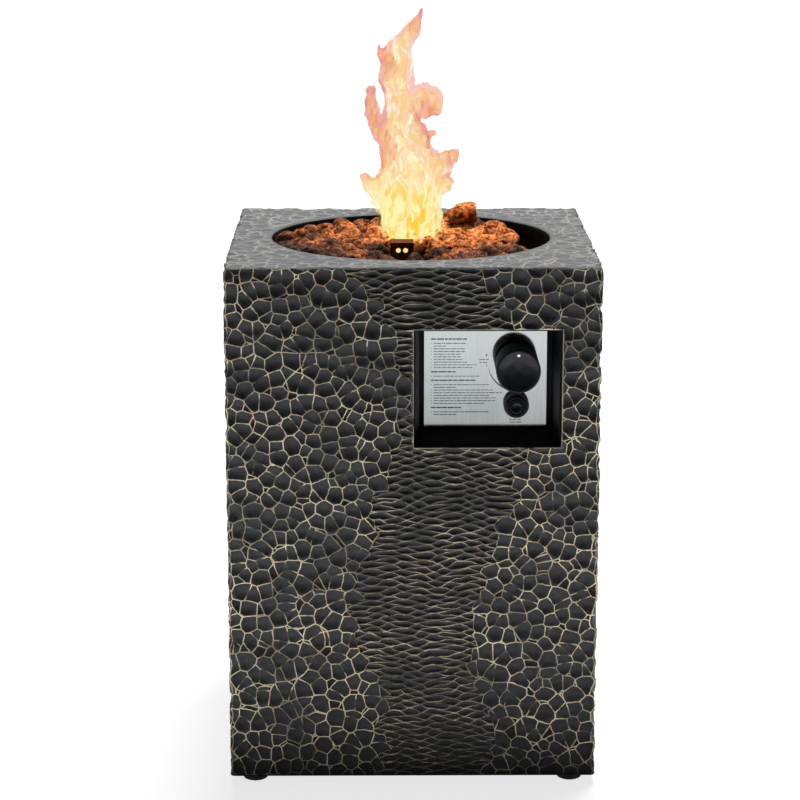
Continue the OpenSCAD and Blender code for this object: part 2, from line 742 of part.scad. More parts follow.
hub_r = 16;
hub_top = ring_z + 10;
port_count = 24;
module ring_burner() {
    color("darkgray") difference() {
        union() {
            translate([0, 0, ring_z]) rotate_extrude() translate([ring_r, 0]) circle(r = ring_tube_r);
            bar_z(0, 0, pan_floor_z, hub_top, hub_r);
            bar_x(-ring_r, ring_r, 0, ring_z, 6);
            bar_z(0, 0, nipple_end_z, pan_floor_z + eps, nipple_r);
        }
        translate([0, 0, ring_z]) rotate_extrude() translate([ring_r, 0]) circle(r = ring_tube_r - 1.2);
        bar_x(-ring_r, ring_r, 0, ring_z, 4.8);
        bar_z(0, 0, nipple_end_z - eps, hub_top - 3, 7);
        for (i = [0 : port_count - 1]) rotate([0, 0, 360 * (i + 0.5) / port_count])
            bar_z(ring_r - 2, 0, ring_z, ring_z + ring_tube_r + eps, 1.3);
    }
}

hood_x = -11;
lead_hole_left = [-33, -47];
lead_hole_right = [12, -47];
drain_r = 3;
drain_at = 122;
hood_screw_dx = 6;
hood_screw_y = -51;

module burner_pan() {
    color([0.1, 0.1, 0.1]) difference() {
        rotate_extrude() polygon([[nipple_r + 0.2, pan_floor_z - pan_t],
            [bowl_floor_r + pan_t, pan_floor_z - pan_t],
            [bowl_rim_r + pan_t, cavity_top - pan_t], [pan_flange_r, cavity_top - pan_t],
            [pan_flange_r, cavity_top], [bowl_rim_r, cavity_top], [bowl_floor_r, pan_floor_z],
            [nipple_r + 0.2, pan_floor_z]]);
        for (a = pan_screw_angles) rotate([0, 0, a]) {
            bar_z(pan_screw_r, 0, cavity_top - pan_t - eps, cavity_top + eps, blind_r + gap);
            bar_z(drain_at, 0, pan_floor_z - pan_t - eps, pan_floor_z + eps, drain_r);
        }
        for (p = [lead_hole_left, lead_hole_right])
            bar_z(p[0], p[1], pan_floor_z - pan_t - eps, pan_floor_z + eps, 4);
        for (sx = [-1, 1])
            bar_z(hood_x + sx * hood_screw_dx, hood_screw_y, pan_floor_z - pan_t - eps, pan_floor_z + eps,
                blind_r + gap);
    }
}

module pan_screws() {
    z = cavity_top - pan_t;
    color("silver") for (a = pan_screw_angles) rotate([0, 0, a]) {
        bar_z(pan_screw_r, 0, z - m4_head_h, z, m4_head_r);
        bar_z(pan_screw_r, 0, z - eps, cavity_top + blind_depth - eps, blind_r);
    }
}

// ---------------------------------------------------------------- igniter

sleeve_r = 10.9;
sleeve_bore_r = 9.1;
bezel_r = 14;
bezel_front_y = label_y - 10;
recess_r = 11;
recess_floor_y = label_y - 5;
button_r = 10.8;
button_front_y = bezel_front_y - 5;
button_back_y = recess_floor_y - 0.2 - button_travel;
plunger_y1 = panel_back_y + 7.8;
battery_y0 = panel_back_y + 14.9;
battery_len = 50.5;
battery_y1 = battery_y0 + battery_len;
sleeve_end_y = battery_y1 + 4.4;
terminal_end_y = sleeve_end_y + 8;
terminal_dx = 3;

module igniter_sleeve() {
    color([0.05, 0.05, 0.06]) difference() {
        union() {
            bar_y(knob_x, bezel_front_y, label_y, igniter_z, bezel_r);
            bar_y(knob_x, label_y - eps, sleeve_end_y, igniter_z, sleeve_r);
            for (sx = [-1, 1])
                block([knob_x + sx * terminal_dx - 1.6, sleeve_end_y - eps, igniter_z - 2.4],
                    [knob_x + sx * terminal_dx + 1.6, terminal_end_y, igniter_z + 2.4]);
        }
        bar_y(knob_x, bezel_front_y - eps, recess_floor_y, igniter_z, recess_r);
        bar_y(knob_x, recess_floor_y - eps, battery_y1 + touch, igniter_z, sleeve_bore_r);
    }
}

module igniter_nut() {
    color("silver") difference() {
        hex_y(knob_x, panel_back_y, panel_back_y + 5, igniter_z, 28);
        bar_y(knob_x, panel_back_y - eps, panel_back_y + 5 + eps, igniter_z, sleeve_r + gap);
    }
}

module igniter_button() {
    color([0.06, 0.06, 0.07]) translate([knob_x, button_front_y, igniter_z]) rotate([-90, 0, 0])
        rotate_extrude() polygon([[0, 1.6], [4, 1.3], [7.6, 0.2], [9.4, 0], [10.3, 0.5], [button_r, 1.6],
            [button_r, button_back_y - button_front_y], [sleeve_bore_r - 0.1, button_back_y - button_front_y],
            [sleeve_bore_r - 0.1, plunger_y1 - button_front_y], [0, plunger_y1 - button_front_y]]);
}

module igniter_spring() {
    color("lightsteelblue") coil_y(knob_x, igniter_z, plunger_y1 + touch, battery_y0 - touch, 5, 0.5, 4);
}

module igniter_battery() {
    color("slategray") union() {
        bar_y(knob_x, battery_y0 + 1, battery_y1, igniter_z, 7.25);
        bar_y(knob_x, battery_y0, battery_y0 + 1 + eps, igniter_z, 2.75);
    }
}

hood_w = 26;
hood_front_y = -84;
hood_back_y = -58.8;
hood_top = shell_top + 6;
shelf_z = pan_floor_z + 40;
hood_skirt_z = shelf_z - 2;
spyhole_r = 2.75;
spyhole_dx = 4;
spyhole_z = hood_top - 8.6;
leg_w = 20;
probe_y = -72;

module igniter_hood() {
    x0 = hood_x - hood_w / 2;
    x1 = hood_x + hood_w / 2;
    color("gray") difference() {
        union() {
            block([x0, hood_front_y, hood_skirt_z], [x1, hood_front_y + sheet, hood_top]);
            block([x0, hood_front_y, hood_top - sheet], [x1, hood_back_y, hood_top]);
            block([x0, hood_front_y, hood_skirt_z], [x0 + sheet, hood_back_y - 6, hood_top]);
            block([x1 - sheet, hood_front_y, hood_skirt_z], [x1, hood_back_y - 6, hood_top]);
            block([x0, hood_front_y, shelf_z], [x1, hood_back_y, shelf_z + sheet]);
            block([hood_x - leg_w / 2, hood_back_y - sheet, pan_floor_z],
                [hood_x + leg_w / 2, hood_back_y, hood_top]);
            block([hood_x - leg_w / 2, hood_back_y - sheet, pan_floor_z],
                [hood_x + leg_w / 2, hood_back_y + 14, pan_floor_z + sheet]);
        }
        for (sx = [-1, 1]) {
            bar_y(hood_x + sx * spyhole_dx, hood_front_y - eps, hood_front_y + sheet + eps, spyhole_z, spyhole_r);
            bar_z(hood_x + sx * spyhole_dx, probe_y, shelf_z - eps, shelf_z + sheet + eps, 2.5 + gap);
            bar_z(hood_x + sx * hood_screw_dx, hood_screw_y, pan_floor_z - eps, pan_floor_z + sheet + eps,
                blind_r + gap);
        }
    }
}

module hood_screws() {
    color("silver") for (sx = [-1, 1])
        translate([hood_x + sx * hood_screw_dx, hood_screw_y, pan_floor_z + sheet])
            screw_down(blind_r, sheet + pan_t + 4);
}

electrode_low_z = shelf_z - 8;
module spark_electrode() {
    x = hood_x - spyhole_dx;
    color("white") union() {
        bar_z(x, probe_y, electrode_low_z, shelf_z + 20, 2.5);
        bar_z(x, probe_y, shelf_z + sheet + touch, shelf_z + sheet + 3, 3.6);
        bar_z(x, probe_y, shelf_z + 19, hood_top - 5, 0.8);
    }
}

sensor_low_z = shelf_z - 5;
module thermocouple() {
    x = hood_x + spyhole_dx;
    color("peru") union() {
        bar_z(x, probe_y, sensor_low_z, hood_top - 6, 2);
        bar_z(x, probe_y, shelf_z + sheet + touch, shelf_z + sheet + 3, 3.4);
    }
}

// ---------------------------------------------------------------- leads

lead_r = 1.5;
lead_steps = 4;
under_pan_z = pan_floor_z - 14;
// From the electrode, over the burner tube, down through the bowl's floor and back to the igniter
wire_route = [
    [hood_x - spyhole_dx, probe_y, electrode_low_z - touch],
    [-16, -71, 542], [-24, -64, 540], [-32, -54, 532], [-33, -48, 520],
    [-33, -47, 511], [-31, -47, 498], [-18, -50, 476], [10, -52, 452],
    [50, -52, 432], [86, -48, 425], [104, -46, 424], [110.5, -52, 424.5],
    [knob_x - terminal_dx, terminal_end_y + 6, igniter_z],
    [knob_x - terminal_dx, terminal_end_y + touch, igniter_z]];
// From the probe, down through the bowl's floor and forward to the valve's safety port
sensor_route = [
    [hood_x + spyhole_dx, probe_y, sensor_low_z - touch],
    [-6, -71, 543], [1, -66, 540], [9, -56, 533], [12, -49, 522],
    [12, -47, 511], [15, -48, 501], [36, -58, 497], [70, -84, 498],
    [98, -114, 500], [110, -125, 499], [knob_x, sensor_port_y, 496],
    [knob_x, sensor_port_y, sensor_port_z + touch]];

module ignition_wire() { color("firebrick") sweep_tube(smooth_route(wire_route, lead_steps), lead_r, 8); }
module thermocouple_lead() { color("peru") sweep_tube(smooth_route(sensor_route, lead_steps), lead_r, 8); }

// ---------------------------------------------------------------- lava rock

rock_r = rock_pitch / 2 * rock_fill;
layer_rise = rock_pitch * sqrt(2 / 3);
golden = (1 + sqrt(5)) / 2;
ico_length = norm([1, golden, 0]);
ico_points = [
    [0, -1, -golden], [0, -1, golden], [0, 1, -golden], [0, 1, golden],
    [-1, -golden, 0], [-1, golden, 0], [1, -golden, 0], [1, golden, 0],
    [-golden, 0, -1], [golden, 0, -1], [-golden, 0, 1], [golden, 0, 1]] / ico_length;
ico_faces = [
    [0, 2, 8], [0, 9, 2], [0, 4, 6], [0, 8, 4], [0, 6, 9], [1, 10, 3], [1, 3, 11], [1, 6, 4], [1, 4, 10],
    [1, 11, 6], [2, 7, 5], [2, 5, 8], [2, 9, 7], [3, 5, 7], [3, 10, 5], [3, 7, 11], [4, 8, 10],
    [6, 11, 9], [5, 10, 8], [7, 9, 11]];

// One rough rock of twelve corners, inside the sphere of radius r round its middle
module rock(at, r, seed) {
    jitter = rands(0.74, 1, 12, seed);
    turn = rands(0, 360, 3, seed + 1000);
    translate(at) rotate(turn)
        polyhedron(points = [for (i = [0 : 11]) ico_points[i] * r * jitter[i]], faces = ico_faces);
}

// Rocks lie in staggered layers. The bottom layer stays outside the ring burner, the next one
// covers it, the third fills the mouth but for a gap at the right, and one large rock lies on top.
row_rise = rock_pitch * sqrt(3) / 2;
layer_shift = [[0, 0], [rock_pitch / 2, rock_pitch * sqrt(3) / 6], [0, rock_pitch * sqrt(3) / 3],
    [rock_pitch / 2, rock_pitch * sqrt(3) / 6]];
layer_count = 4;
function site(layer, i, j) = [
    (i + 0.5 * (j - 2 * floor(j / 2))) * rock_pitch + layer_shift[layer][0],
    j * row_rise + layer_shift[layer][1],
    pan_floor_z + rock_r + 0.2 + layer * layer_rise];
function reach(p) = norm([p[0], p[1]]);
hood_reach_y = [-112, -44];             // the space that the hood and its screws need, front to back
function hood_distance(layer, p) = norm([
    max(abs(p[0] - hood_x) - hood_w / 2, 0),
    max((layer < 2 ? hood_front_y : hood_reach_y[0]) - p[1], p[1] - hood_reach_y[1], 0)]);
leads_in_bowl = concat([for (i = [0 : 5]) wire_route[i]], [for (i = [0 : 5]) sensor_route[i]]);
function lead_distance(p) = min([for (q = leads_in_bowl) norm(p - q)]);
function clear_of_parts(layer, p) =
    hood_distance(layer, p) > rock_r + 0.4 && lead_distance(p) > rock_r + lead_r + 1.2;
big_rock_at = [60, 96];
function keeps(layer, p) =
    layer == 0 ? reach(p) > ring_r + ring_tube_r + rock_r + 0.4 && reach(p) < bowl_floor_r - rock_r + 0.5
    : layer == 1 ? reach(p) < bowl_floor_r + 3 - rock_r && clear_of_parts(layer, p)
    : layer == 2 ? reach(p) < mouth_r - rock_r - 0.5 && p[0] < 124 && clear_of_parts(layer, p)
    : norm([p[0], p[1]] - big_rock_at) < rock_pitch * 0.7;

module lava_rocks() {
    span = ceil(mouth_r / rock_pitch) + 1;
    color("sienna") for (layer = [0 : layer_count - 1], j = [-span : span], i = [-span : span]) {
        p = site(layer, i, j);
        if (keeps(layer, p)) rock(p, rock_r, rock_seed + layer * 400 + (j + span) * 20 + i + span);
    }
}

// ---------------------------------------------------------------- assembly

column_shell();
foot([-1, -1]);  // foot_front_left
foot([1, -1]);  // foot_front_right
foot([-1, 1]);  // foot_rear_left
foot([1, 1]);  // foot_rear_right
foot_screws();
bracket([-1, -1]);  // bracket_front_left
bracket([1, -1]);  // bracket_front_right
bracket([-1, 1]);  // bracket_rear_left
bracket([1, 1]);  // bracket_rear_right
bracket_screws();
tank_tray();
tray_screws();
door_frame();
door_frame_screws();
door_panel();
door_pull();
door_strike();
magnetic_catch();
hinge_frame_leaf(hinge_zs[1]);  // hinge_frame_leaf_upper
hinge_frame_leaf(hinge_zs[0]);  // hinge_frame_leaf_lower
hinge_door_leaf(hinge_zs[1]);  // hinge_door_leaf_upper
hinge_door_leaf(hinge_zs[0]);  // hinge_door_leaf_lower
hinge_pin(hinge_zs[1]);  // hinge_pin_upper
hinge_pin(hinge_zs[0]);  // hinge_pin_lower
control_box();
control_box_screws();
label_plate();
gas_knob();
knob_pointer();
valve_body();
valve_stem();
stem_spring();
valve_plug();
valve_outlet();
valve_screws();
gas_inlet_nipple();
gas_tube();
tube_nuts();
gas_orifice();
air_mixer();
burner_elbow();
burner_locknut();
ring_burner();
burner_pan();
pan_screws();
igniter_sleeve();
igniter_button();
igniter_spring();
igniter_battery();
igniter_nut();
igniter_hood();
hood_screws();
spark_electrode();
thermocouple();
ignition_wire();
thermocouple_lead();
lava_rocks();
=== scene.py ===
# %% [markdown]
# # A column gas fire pit, dressed for the camera
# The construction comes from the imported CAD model, which this notebook loads as a fixed frame.
# Blender gives it its looks: the scooped casting, the lava rock, the printed plate, the knob
# and the flame. Everything is in metres, and lies where the CAD model says.

import json
import math
import random

import bmesh
import bpy
import numpy as np
from mathutils import Matrix, Vector, noise
from mathutils.kdtree import KDTree


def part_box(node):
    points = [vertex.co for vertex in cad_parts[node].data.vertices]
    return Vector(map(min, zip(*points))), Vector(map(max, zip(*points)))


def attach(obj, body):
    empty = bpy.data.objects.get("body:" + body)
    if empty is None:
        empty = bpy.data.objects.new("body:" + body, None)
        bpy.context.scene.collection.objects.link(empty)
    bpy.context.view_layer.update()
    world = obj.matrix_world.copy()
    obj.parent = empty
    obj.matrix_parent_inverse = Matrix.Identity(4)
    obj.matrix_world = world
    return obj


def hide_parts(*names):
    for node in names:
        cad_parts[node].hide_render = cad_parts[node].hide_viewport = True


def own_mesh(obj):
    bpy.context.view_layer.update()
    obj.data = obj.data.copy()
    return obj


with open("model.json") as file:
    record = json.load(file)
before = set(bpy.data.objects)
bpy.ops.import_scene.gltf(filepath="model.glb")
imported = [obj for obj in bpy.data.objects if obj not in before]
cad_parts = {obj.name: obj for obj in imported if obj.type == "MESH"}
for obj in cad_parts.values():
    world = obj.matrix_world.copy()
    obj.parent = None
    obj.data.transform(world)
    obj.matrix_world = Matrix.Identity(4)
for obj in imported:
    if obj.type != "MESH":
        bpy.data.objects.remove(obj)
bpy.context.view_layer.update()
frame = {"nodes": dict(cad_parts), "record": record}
nodes = frame["nodes"]
MM = 0.001

# %% [markdown]
# ## Sizes that the rest is worked out from
# A piece takes its size from the CAD node that it stands for, so a change in the source moves
# the looks with it.

# %% Sizes from the frame
shell_low, shell_high = (Vector(c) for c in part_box("column_shell"))
half = shell_high.x
top_z = shell_high.z
base_z = shell_low.z
rock_low, rock_high = (Vector(c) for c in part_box("lava_rocks"))
plate_low, plate_high = (Vector(c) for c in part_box("label_plate"))
knob_low, knob_high = (Vector(c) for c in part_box("gas_knob"))
mouth_r = 158 * MM
wall = 13 * MM
top_wall = 16 * MM
print("column", round(2 * half / MM), "mm wide, top at", round(top_z / MM), "mm")

# %% [markdown]
# ## Camera
# The photograph looks almost straight at the front, a little from above and from far away. A long
# lens at about three metres gives its proportions without a lens shift.

# %% Camera
SENSOR = 36.0
PHOTO = 800


def add_object(name, data):
    """An object in the scene, at the origin."""
    made = bpy.data.objects.new(name, data)
    bpy.context.scene.collection.objects.link(made)
    return made



def add_camera(place, pitch, yaw, focal_px):
    """A camera at a place in millimetres, turned by degrees, with its focal length in pixels."""
    data = bpy.data.cameras.new("camera")
    data.sensor_width = SENSOR
    data.lens = focal_px / PHOTO * SENSOR
    camera = add_object("camera", data)
    camera.location = Vector(place) * MM
    camera.rotation_euler = (math.radians(90 - pitch), 0, math.radians(-yaw))
    bpy.context.scene.camera = camera
    return camera


camera = add_camera(place=(-34.5, -2860, 1069.5), pitch=13.3, yaw=0.44, focal_px=2540)
print("lens", round(camera.data.lens, 1), "mm")

# %% [markdown]
# ## Node helpers
# A field is a node's output. Written with +, - and *, it makes the math nodes that do the sum, so
# that a material reads like a formula.

# %% Fields


class Field:
    """A node's output, which numbers and other fields join by +, - and *."""

    def __init__(self, socket):
        self.socket = socket
        self.tree = socket.id_data

    def __add__(self, other):
        return math_node("ADD", self, other)

    def __sub__(self, other):
        return math_node("SUBTRACT", self, other)

    def __rsub__(self, other):
        return math_node("SUBTRACT", other, self)

    def __mul__(self, other):
        return math_node("MULTIPLY", self, other)


def set_inputs(node, values):
    """Links fields to a node's inputs, and sets the others to numbers, colours or names."""
    for key, value in values.items():
        socket = node.inputs[key]
        source = getattr(value, "socket", value)
        if isinstance(source, bpy.types.NodeSocket):
            node.id_data.links.new(source, socket)
        elif socket.type == "RGBA":
            socket.default_value = (*value, 1.0)
        else:
            socket.default_value = value


def add_node(tree, kind, inputs=None, **settings):
    node = tree.nodes.new(kind)
    for name, value in settings.items():
        setattr(node, name, value)
    set_inputs(node, inputs or {})
    return node


def field(tree, kind, inputs=None, output=0, **settings):
    """One output of a new node."""
    return Field(add_node(tree, kind, inputs, **settings).outputs[output])


def math_node(operation, *values, clamp=False):
    tree = next(value.tree for value in values if isinstance(value, Field))
    return field(tree, "ShaderNodeMath", dict(enumerate(values)), operation=operation, use_clamp=clamp)


def multiply_add(value, factor, addend, clamp=False):
    return math_node("MULTIPLY_ADD", value, factor, addend, clamp=clamp)


def greatest(a, b):
    return math_node("MAXIMUM", a, b)


def size_of(value):
    return math_node("ABSOLUTE", value)


def squared(value):
    return math_node("POWER", value, 2.0)


def smooth_step(value, low, high, out_low=0.0, out_high=1.0):
    """out_low below low and out_high above high, eased between them."""
    return field(value.tree, "ShaderNodeMapRange", {0: value, 1: low, 2: high, 3: out_low, 4: out_high},
                 interpolation_type="SMOOTHSTEP")


def mix_colour(amount, a, b):
    """a where amount is 0 and b where it is 1."""
    return field(amount.tree, "ShaderNodeMix", {0: amount, 6: a, 7: b}, 2, data_type="RGBA")


def vector_math(operation, a, b):
    return field(a.tree, "ShaderNodeVectorMath", {0: a, 1: b}, operation=operation)


def length_of(vector):
    return field(vector.tree, "ShaderNodeVectorMath", {0: vector}, "Value", operation="LENGTH")


def parts_of(vector):
    """The x, y and z of a vector."""
    return [Field(part) for part in add_node(vector.tree, "ShaderNodeSeparateXYZ", {0: vector}).outputs]


def noise_at(place, scale, detail, output=0, **inputs):
    """Noise about 0.5, with scale lumps to the metre."""
    inputs.update(Vector=place, Scale=scale, Detail=detail)
    return field(place.tree, "ShaderNodeTexNoise", inputs, output)


def bump(height, strength, distance_mm, **inputs):
    """A normal tilted as if height 1 stood this far out."""
    inputs.update(Strength=strength, Distance=distance_mm * MM, Height=height)
    return field(height.tree, "ShaderNodeBump", inputs)


def object_place(tree):
    return field(tree, "ShaderNodeTexCoord", output="Object")


def attribute(tree, name, output="Fac"):
    return field(tree, "ShaderNodeAttribute", output=output, attribute_name=name)


def blank_material(name, kind="ShaderNodeBsdfPrincipled"):
    """A material with a shader and an output only, its tree and the shader."""
    material = bpy.data.materials.new(name)
    material.use_nodes = True
    tree = material.node_tree
    tree.nodes.clear()
    shader = tree.nodes.new(kind)
    output = tree.nodes.new("ShaderNodeOutputMaterial")
    tree.links.new(shader.outputs[0], output.inputs[0])
    return material, tree, shader


def mesh_from(bm, name):
    """A mesh of this name from a bmesh, which is freed."""
    mesh = bpy.data.meshes.new(name)
    bm.to_mesh(mesh)
    bm.free()
    return mesh


# %% [markdown]
# ## Studio
# A white floor, lit from above, throws most of the light back up at the column: the upper part of
# each hollow is bright and its lower part dark, and the ledge of the niche is almost black. Flat
# panels of light that lie on the floor on all four sides stand in for that bounce. The white of
# floor and world is for the camera, so it adds no light to the object. Reflections see a darker
# ceiling, a darker floor near the column, and a black card behind the camera, which keeps the
# lower half of the knob's face dark.

# %% World, floor and black card
WHITE = (1.0, 1.0, 1.0)
CEILING_SHARE = 0.30
FLOOR_SHARE = 0.34
DOORWAY_DEEPER = 0.02


def seen_white(tree, plain, mirrored):
    """plain for light that falls on the object, white for the camera, and mirrored, a share of
    white, for reflections."""
    rays = tree.nodes.new("ShaderNodeLightPath").outputs
    direct = greatest(Field(rays["Is Camera Ray"]), Field(rays["Is Transmission Ray"]))
    glossy = Field(rays["Is Glossy Ray"]) * mirrored
    return mix_colour(greatest(direct, glossy), plain, WHITE)


def sheet(name, material, width, height, place=(0, 0, 0), tilt=0.0):
    """A flat sheet, tilted up about X."""
    bm = bmesh.new()
    bmesh.ops.create_grid(bm, x_segments=2, y_segments=2, size=0.5)
    bmesh.ops.scale(bm, verts=bm.verts, vec=(width, height, 1.0))
    bmesh.ops.rotate(bm, verts=bm.verts, cent=(0, 0, 0), matrix=Matrix.Rotation(tilt, 3, "X"))
    bmesh.ops.translate(bm, verts=bm.verts, vec=place)
    mesh = mesh_from(bm, name)
    mesh.materials.append(material)
    return add_object(name, mesh)


world = bpy.data.worlds.new("studio")
bpy.context.scene.world = world
world.use_nodes = True
world_tree = world.node_tree
toward = parts_of(field(world_tree, "ShaderNodeTexCoord", output="Generated"))
ceiling = smooth_step(toward[2], 0.02, 0.30, 1.0, CEILING_SHARE)
set_inputs(world_tree.nodes["Background"], {"Color": seen_white(world_tree, (0.045, 0.046, 0.050), ceiling)})

floor_material, floor_tree, floor_shader = blank_material("pale_floor")
floor_place = object_place(floor_tree)
floor_x, floor_y, _ = parts_of(floor_place)
floor_reach = length_of(floor_place)
near_column = smooth_step(floor_reach, 1.5, 2.6, FLOOR_SHARE, 1.0)
# Painted shadow: inside the column's footprint the floor gets none of the camera's white, so it shows dark as
# the shade under the column.
off_middle = greatest(size_of(floor_x), size_of(floor_y) + DOORWAY_DEEPER)
outside_painted_shadow = smooth_step(off_middle, 0.165, 0.185)
set_inputs(floor_shader, {"Base Color": (0.34, 0.34, 0.34), "Roughness": 0.9, "Specular IOR Level": 0.0,
                          "Emission Color": seen_white(floor_tree, (0.0, 0.0, 0.0), near_column),
                          "Emission Strength": outside_painted_shadow * smooth_step(floor_reach, 0.5, 3.0, 0.76, 1.0)})
floor = sheet("floor", floor_material, 120.0, 120.0)

card_material, _, card_shader = blank_material("black_card")
set_inputs(card_shader, {"Base Color": (0.004, 0.004, 0.004), "Roughness": 1.0})
card = sheet("black_card", card_material, 5.0, 2.6, (0, -3.4, 1.32), math.pi / 2)
for ray in ("camera", "diffuse", "transmission", "volume_scatter", "shadow"):
    setattr(card, "visible_" + ray, False)

# %% Lamps


def area_lamp(name, place, aim, size, watts):
    """A disc, or a panel where size is a pair, that the camera itself doesn't see."""
    data = bpy.data.lights.new(name, "AREA")
    if isinstance(size, float):
        data.shape, data.size = "DISK", size
    else:
        data.shape, (data.size, data.size_y) = "RECTANGLE", size
    data.energy = watts
    lamp = add_object(name, data)
    lamp.visible_camera = False
    lamp.location = place
    lamp.rotation_euler = (Vector(aim) - Vector(place)).to_track_quat("-Z", "Y").to_euler()
    return lamp


PANEL = (2.2, 1.04)
PANEL_AWAY = 0.83
PANEL_HEIGHT = 0.012
for index, (side, watts) in enumerate((("front", 24), ("right", 19), ("back", 21), ("left", 21))):
    turn = math.radians(-90 + 90 * index)
    x, y = PANEL_AWAY * math.cos(turn), PANEL_AWAY * math.sin(turn)
    panel = area_lamp("panel_" + side, (x, y, PANEL_HEIGHT), (x, y, 1.0), PANEL, watts)
    panel.rotation_euler = (math.pi, 0, turn + math.pi / 2)
area_lamp("overhead", (0.2, 0.6, 3.0), (0, 0, 0.5), 1.3, 135)
area_lamp("key", (-1.9, -2.2, 2.2), (0, 0, 0.3), 1.0, 8)
area_lamp("fill", (2.6, 2.0, 1.6), (0, 0, 0.3), 1.2, 8)
bpy.context.scene.view_settings.view_transform = "Standard"

# %% [markdown]
# ## The scooped casting
# The real column is one hollow casting. Its skin looks as if it was scooped out with a spoon:
# irregular hollows meet in sharp ridges, and pale gold is brushed on the ridges. A Voronoi
# texture has the same structure. The distance to the nearest cell centre is the hollow, and the
# distance to the cell's edge is the ridge. The same nodes drive a Geometry Nodes modifier, which
# carves the mesh, and the shader, which paints the ridges, so that the paint lies on the relief.

# %% Where the band of waves runs
BAND_BASE, BAND_TOP = 0.011, 0.586
BAND_LEFT_MM = [(11, -44), (35, -36), (70, -33), (110, -34), (138, -46), (160, -62), (182, -68),
                (205, -64), (250, -52), (285, -46), (322, -42), (352, -26), (380, -19), (410, -11),
                (440, -6), (480, -12), (515, -24), (535, -36), (560, -46), (575, -58), (586, -70)]
BAND_RIGHT_MM = [(11, 84), (45, 92), (75, 86), (100, 84), (125, 70), (150, 66), (170, 62), (210, 68),
                 (250, 80), (285, 92), (310, 104), (340, 114), (375, 114), (440, 110), (518, 104),
                 (540, 96), (560, 88), (575, 76), (586, 66)]
BAND_SPAN_MM = (-100.0, 140.0)


def band_edge(height, points_mm):
    """x of the band's edge at a height, from a float curve through the points."""
    low, high = BAND_SPAN_MM
    share = field(height.tree, "ShaderNodeMapRange", {0: height, 1: BAND_BASE, 2: BAND_TOP})
    node = add_node(height.tree, "ShaderNodeFloatCurve", {"Value": share})
    curve = node.mapping.curves[0]
    span = (BAND_TOP - BAND_BASE) / MM
    for z, x in points_mm[1:-1]:
        curve.points.new((z - BAND_BASE / MM) / span, (x - low) / (high - low))
    for end in (0, 1):
        curve.points[-end].location = (end, (points_mm[-end][1] - low) / (high - low))
    node.mapping.update()
    return Field(node.outputs[0]) * ((high - low) * MM) + low * MM


# %% The carving, as nodes for both trees
SCOOP_SIZE = 15.4 * MM
SCOOP_CURVE = 10.0 * MM
SCOOP_RIM = 0.66
SCOOP_SLICE = 0.5
SCOOP_WOBBLE = 4 * MM
TOP_SLICE = 0.3
PIT_FROM = 0.49
PIT_DEPTH = 1.3 * MM
WAVE_PITCH = 4.2 * MM
WAVE_LENGTH = 34 * MM
WAVE_SWING = 0.40
WAVE_DEPTH = 4.2 * MM
WAVE_LEAST_DEPTH = 0.6 * MM
WAVE_DRIFT, WAVE_WRINKLE, WAVE_SLIDE = 20 * MM, 4 * MM, 46 * MM
LINE_HALF = 0.64 * MM
WAVE_LINE_HALF = 0.42 * MM
# How much wider the lines are on the top: painted highlight where the ridges catch the light.
TOP_HIGHLIGHT_SPREAD = 1.2


def nearest_cells(place):
    """Distance to the nearest cell centre, distance to the ridge along the skin, and the centre.

    The cells are 3-D, and the skin is a slice through them, which gives large and small hollows.
    The ridge lies where the two nearest centres are equally far away."""
    near, far = (add_node(place.tree, "ShaderNodeTexVoronoi", {"Vector": place, "Scale": 1.0},
                          voronoi_dimensions="3D", feature=feature).outputs for feature in ("F1", "F2"))
    centre = Field(near["Position"])
    near, far, next_centre = Field(near["Distance"]), Field(far["Distance"]), Field(far["Position"])
    between = vector_math("SUBTRACT", next_centre, centre)
    along = length_of(vector_math("MULTIPLY", between, (1, 1, 0)))
    ridge = math_node("DIVIDE", squared(far) - squared(near), greatest(along * 2.0, 0.2))
    return near, ridge, centre


def braid(flat):
    """Depth and painted crest of the waves: level lines that swing apart and meet, as in a braid.

    A triangle wave in height is 0 on every line, and the swing turns over from line to line, so
    neighbours close in on each other and open again, and the gaps are lens-shaped flutes."""
    def soft(scale, detail, seed):
        return noise_at(vector_math("ADD", flat, (seed, 0, 0)), scale, detail) - 0.5

    way, height, _ = parts_of(flat)
    rise = multiply_add(soft(12.0, 1.0, 0.0), WAVE_DRIFT, height)
    rise = multiply_add(soft(70.0, 0.0, 3.0), WAVE_WRINKLE, rise)
    row = math_node("DIVIDE", rise, WAVE_PITCH)
    zigzag = math_node("PINGPONG", row + 0.5, 1.0) - 0.5
    along = multiply_add(soft(30.0, 1.0, 7.0), WAVE_SLIDE, way)
    swing = math_node("SINE", along * (2 * math.pi / WAVE_LENGTH)) * WAVE_SWING
    off = zigzag - swing
    away = size_of(off)
    widest = 0.5 - math_node("SIGN", off) * swing
    share = math_node("DIVIDE", away, greatest(widest, 0.02), clamp=True)
    trough = 1.0 - squared(1.0 - share)
    depth = trough * widest * WAVE_DEPTH + WAVE_LEAST_DEPTH
    line = smooth_step(away * WAVE_PITCH, 0.2 * WAVE_LINE_HALF, 1.6 * WAVE_LINE_HALF, 1, 0)
    return depth, line * smooth_step(soft(90.0, 1.0, 5.0), -0.12, 0.1, 0.35, 0.95)


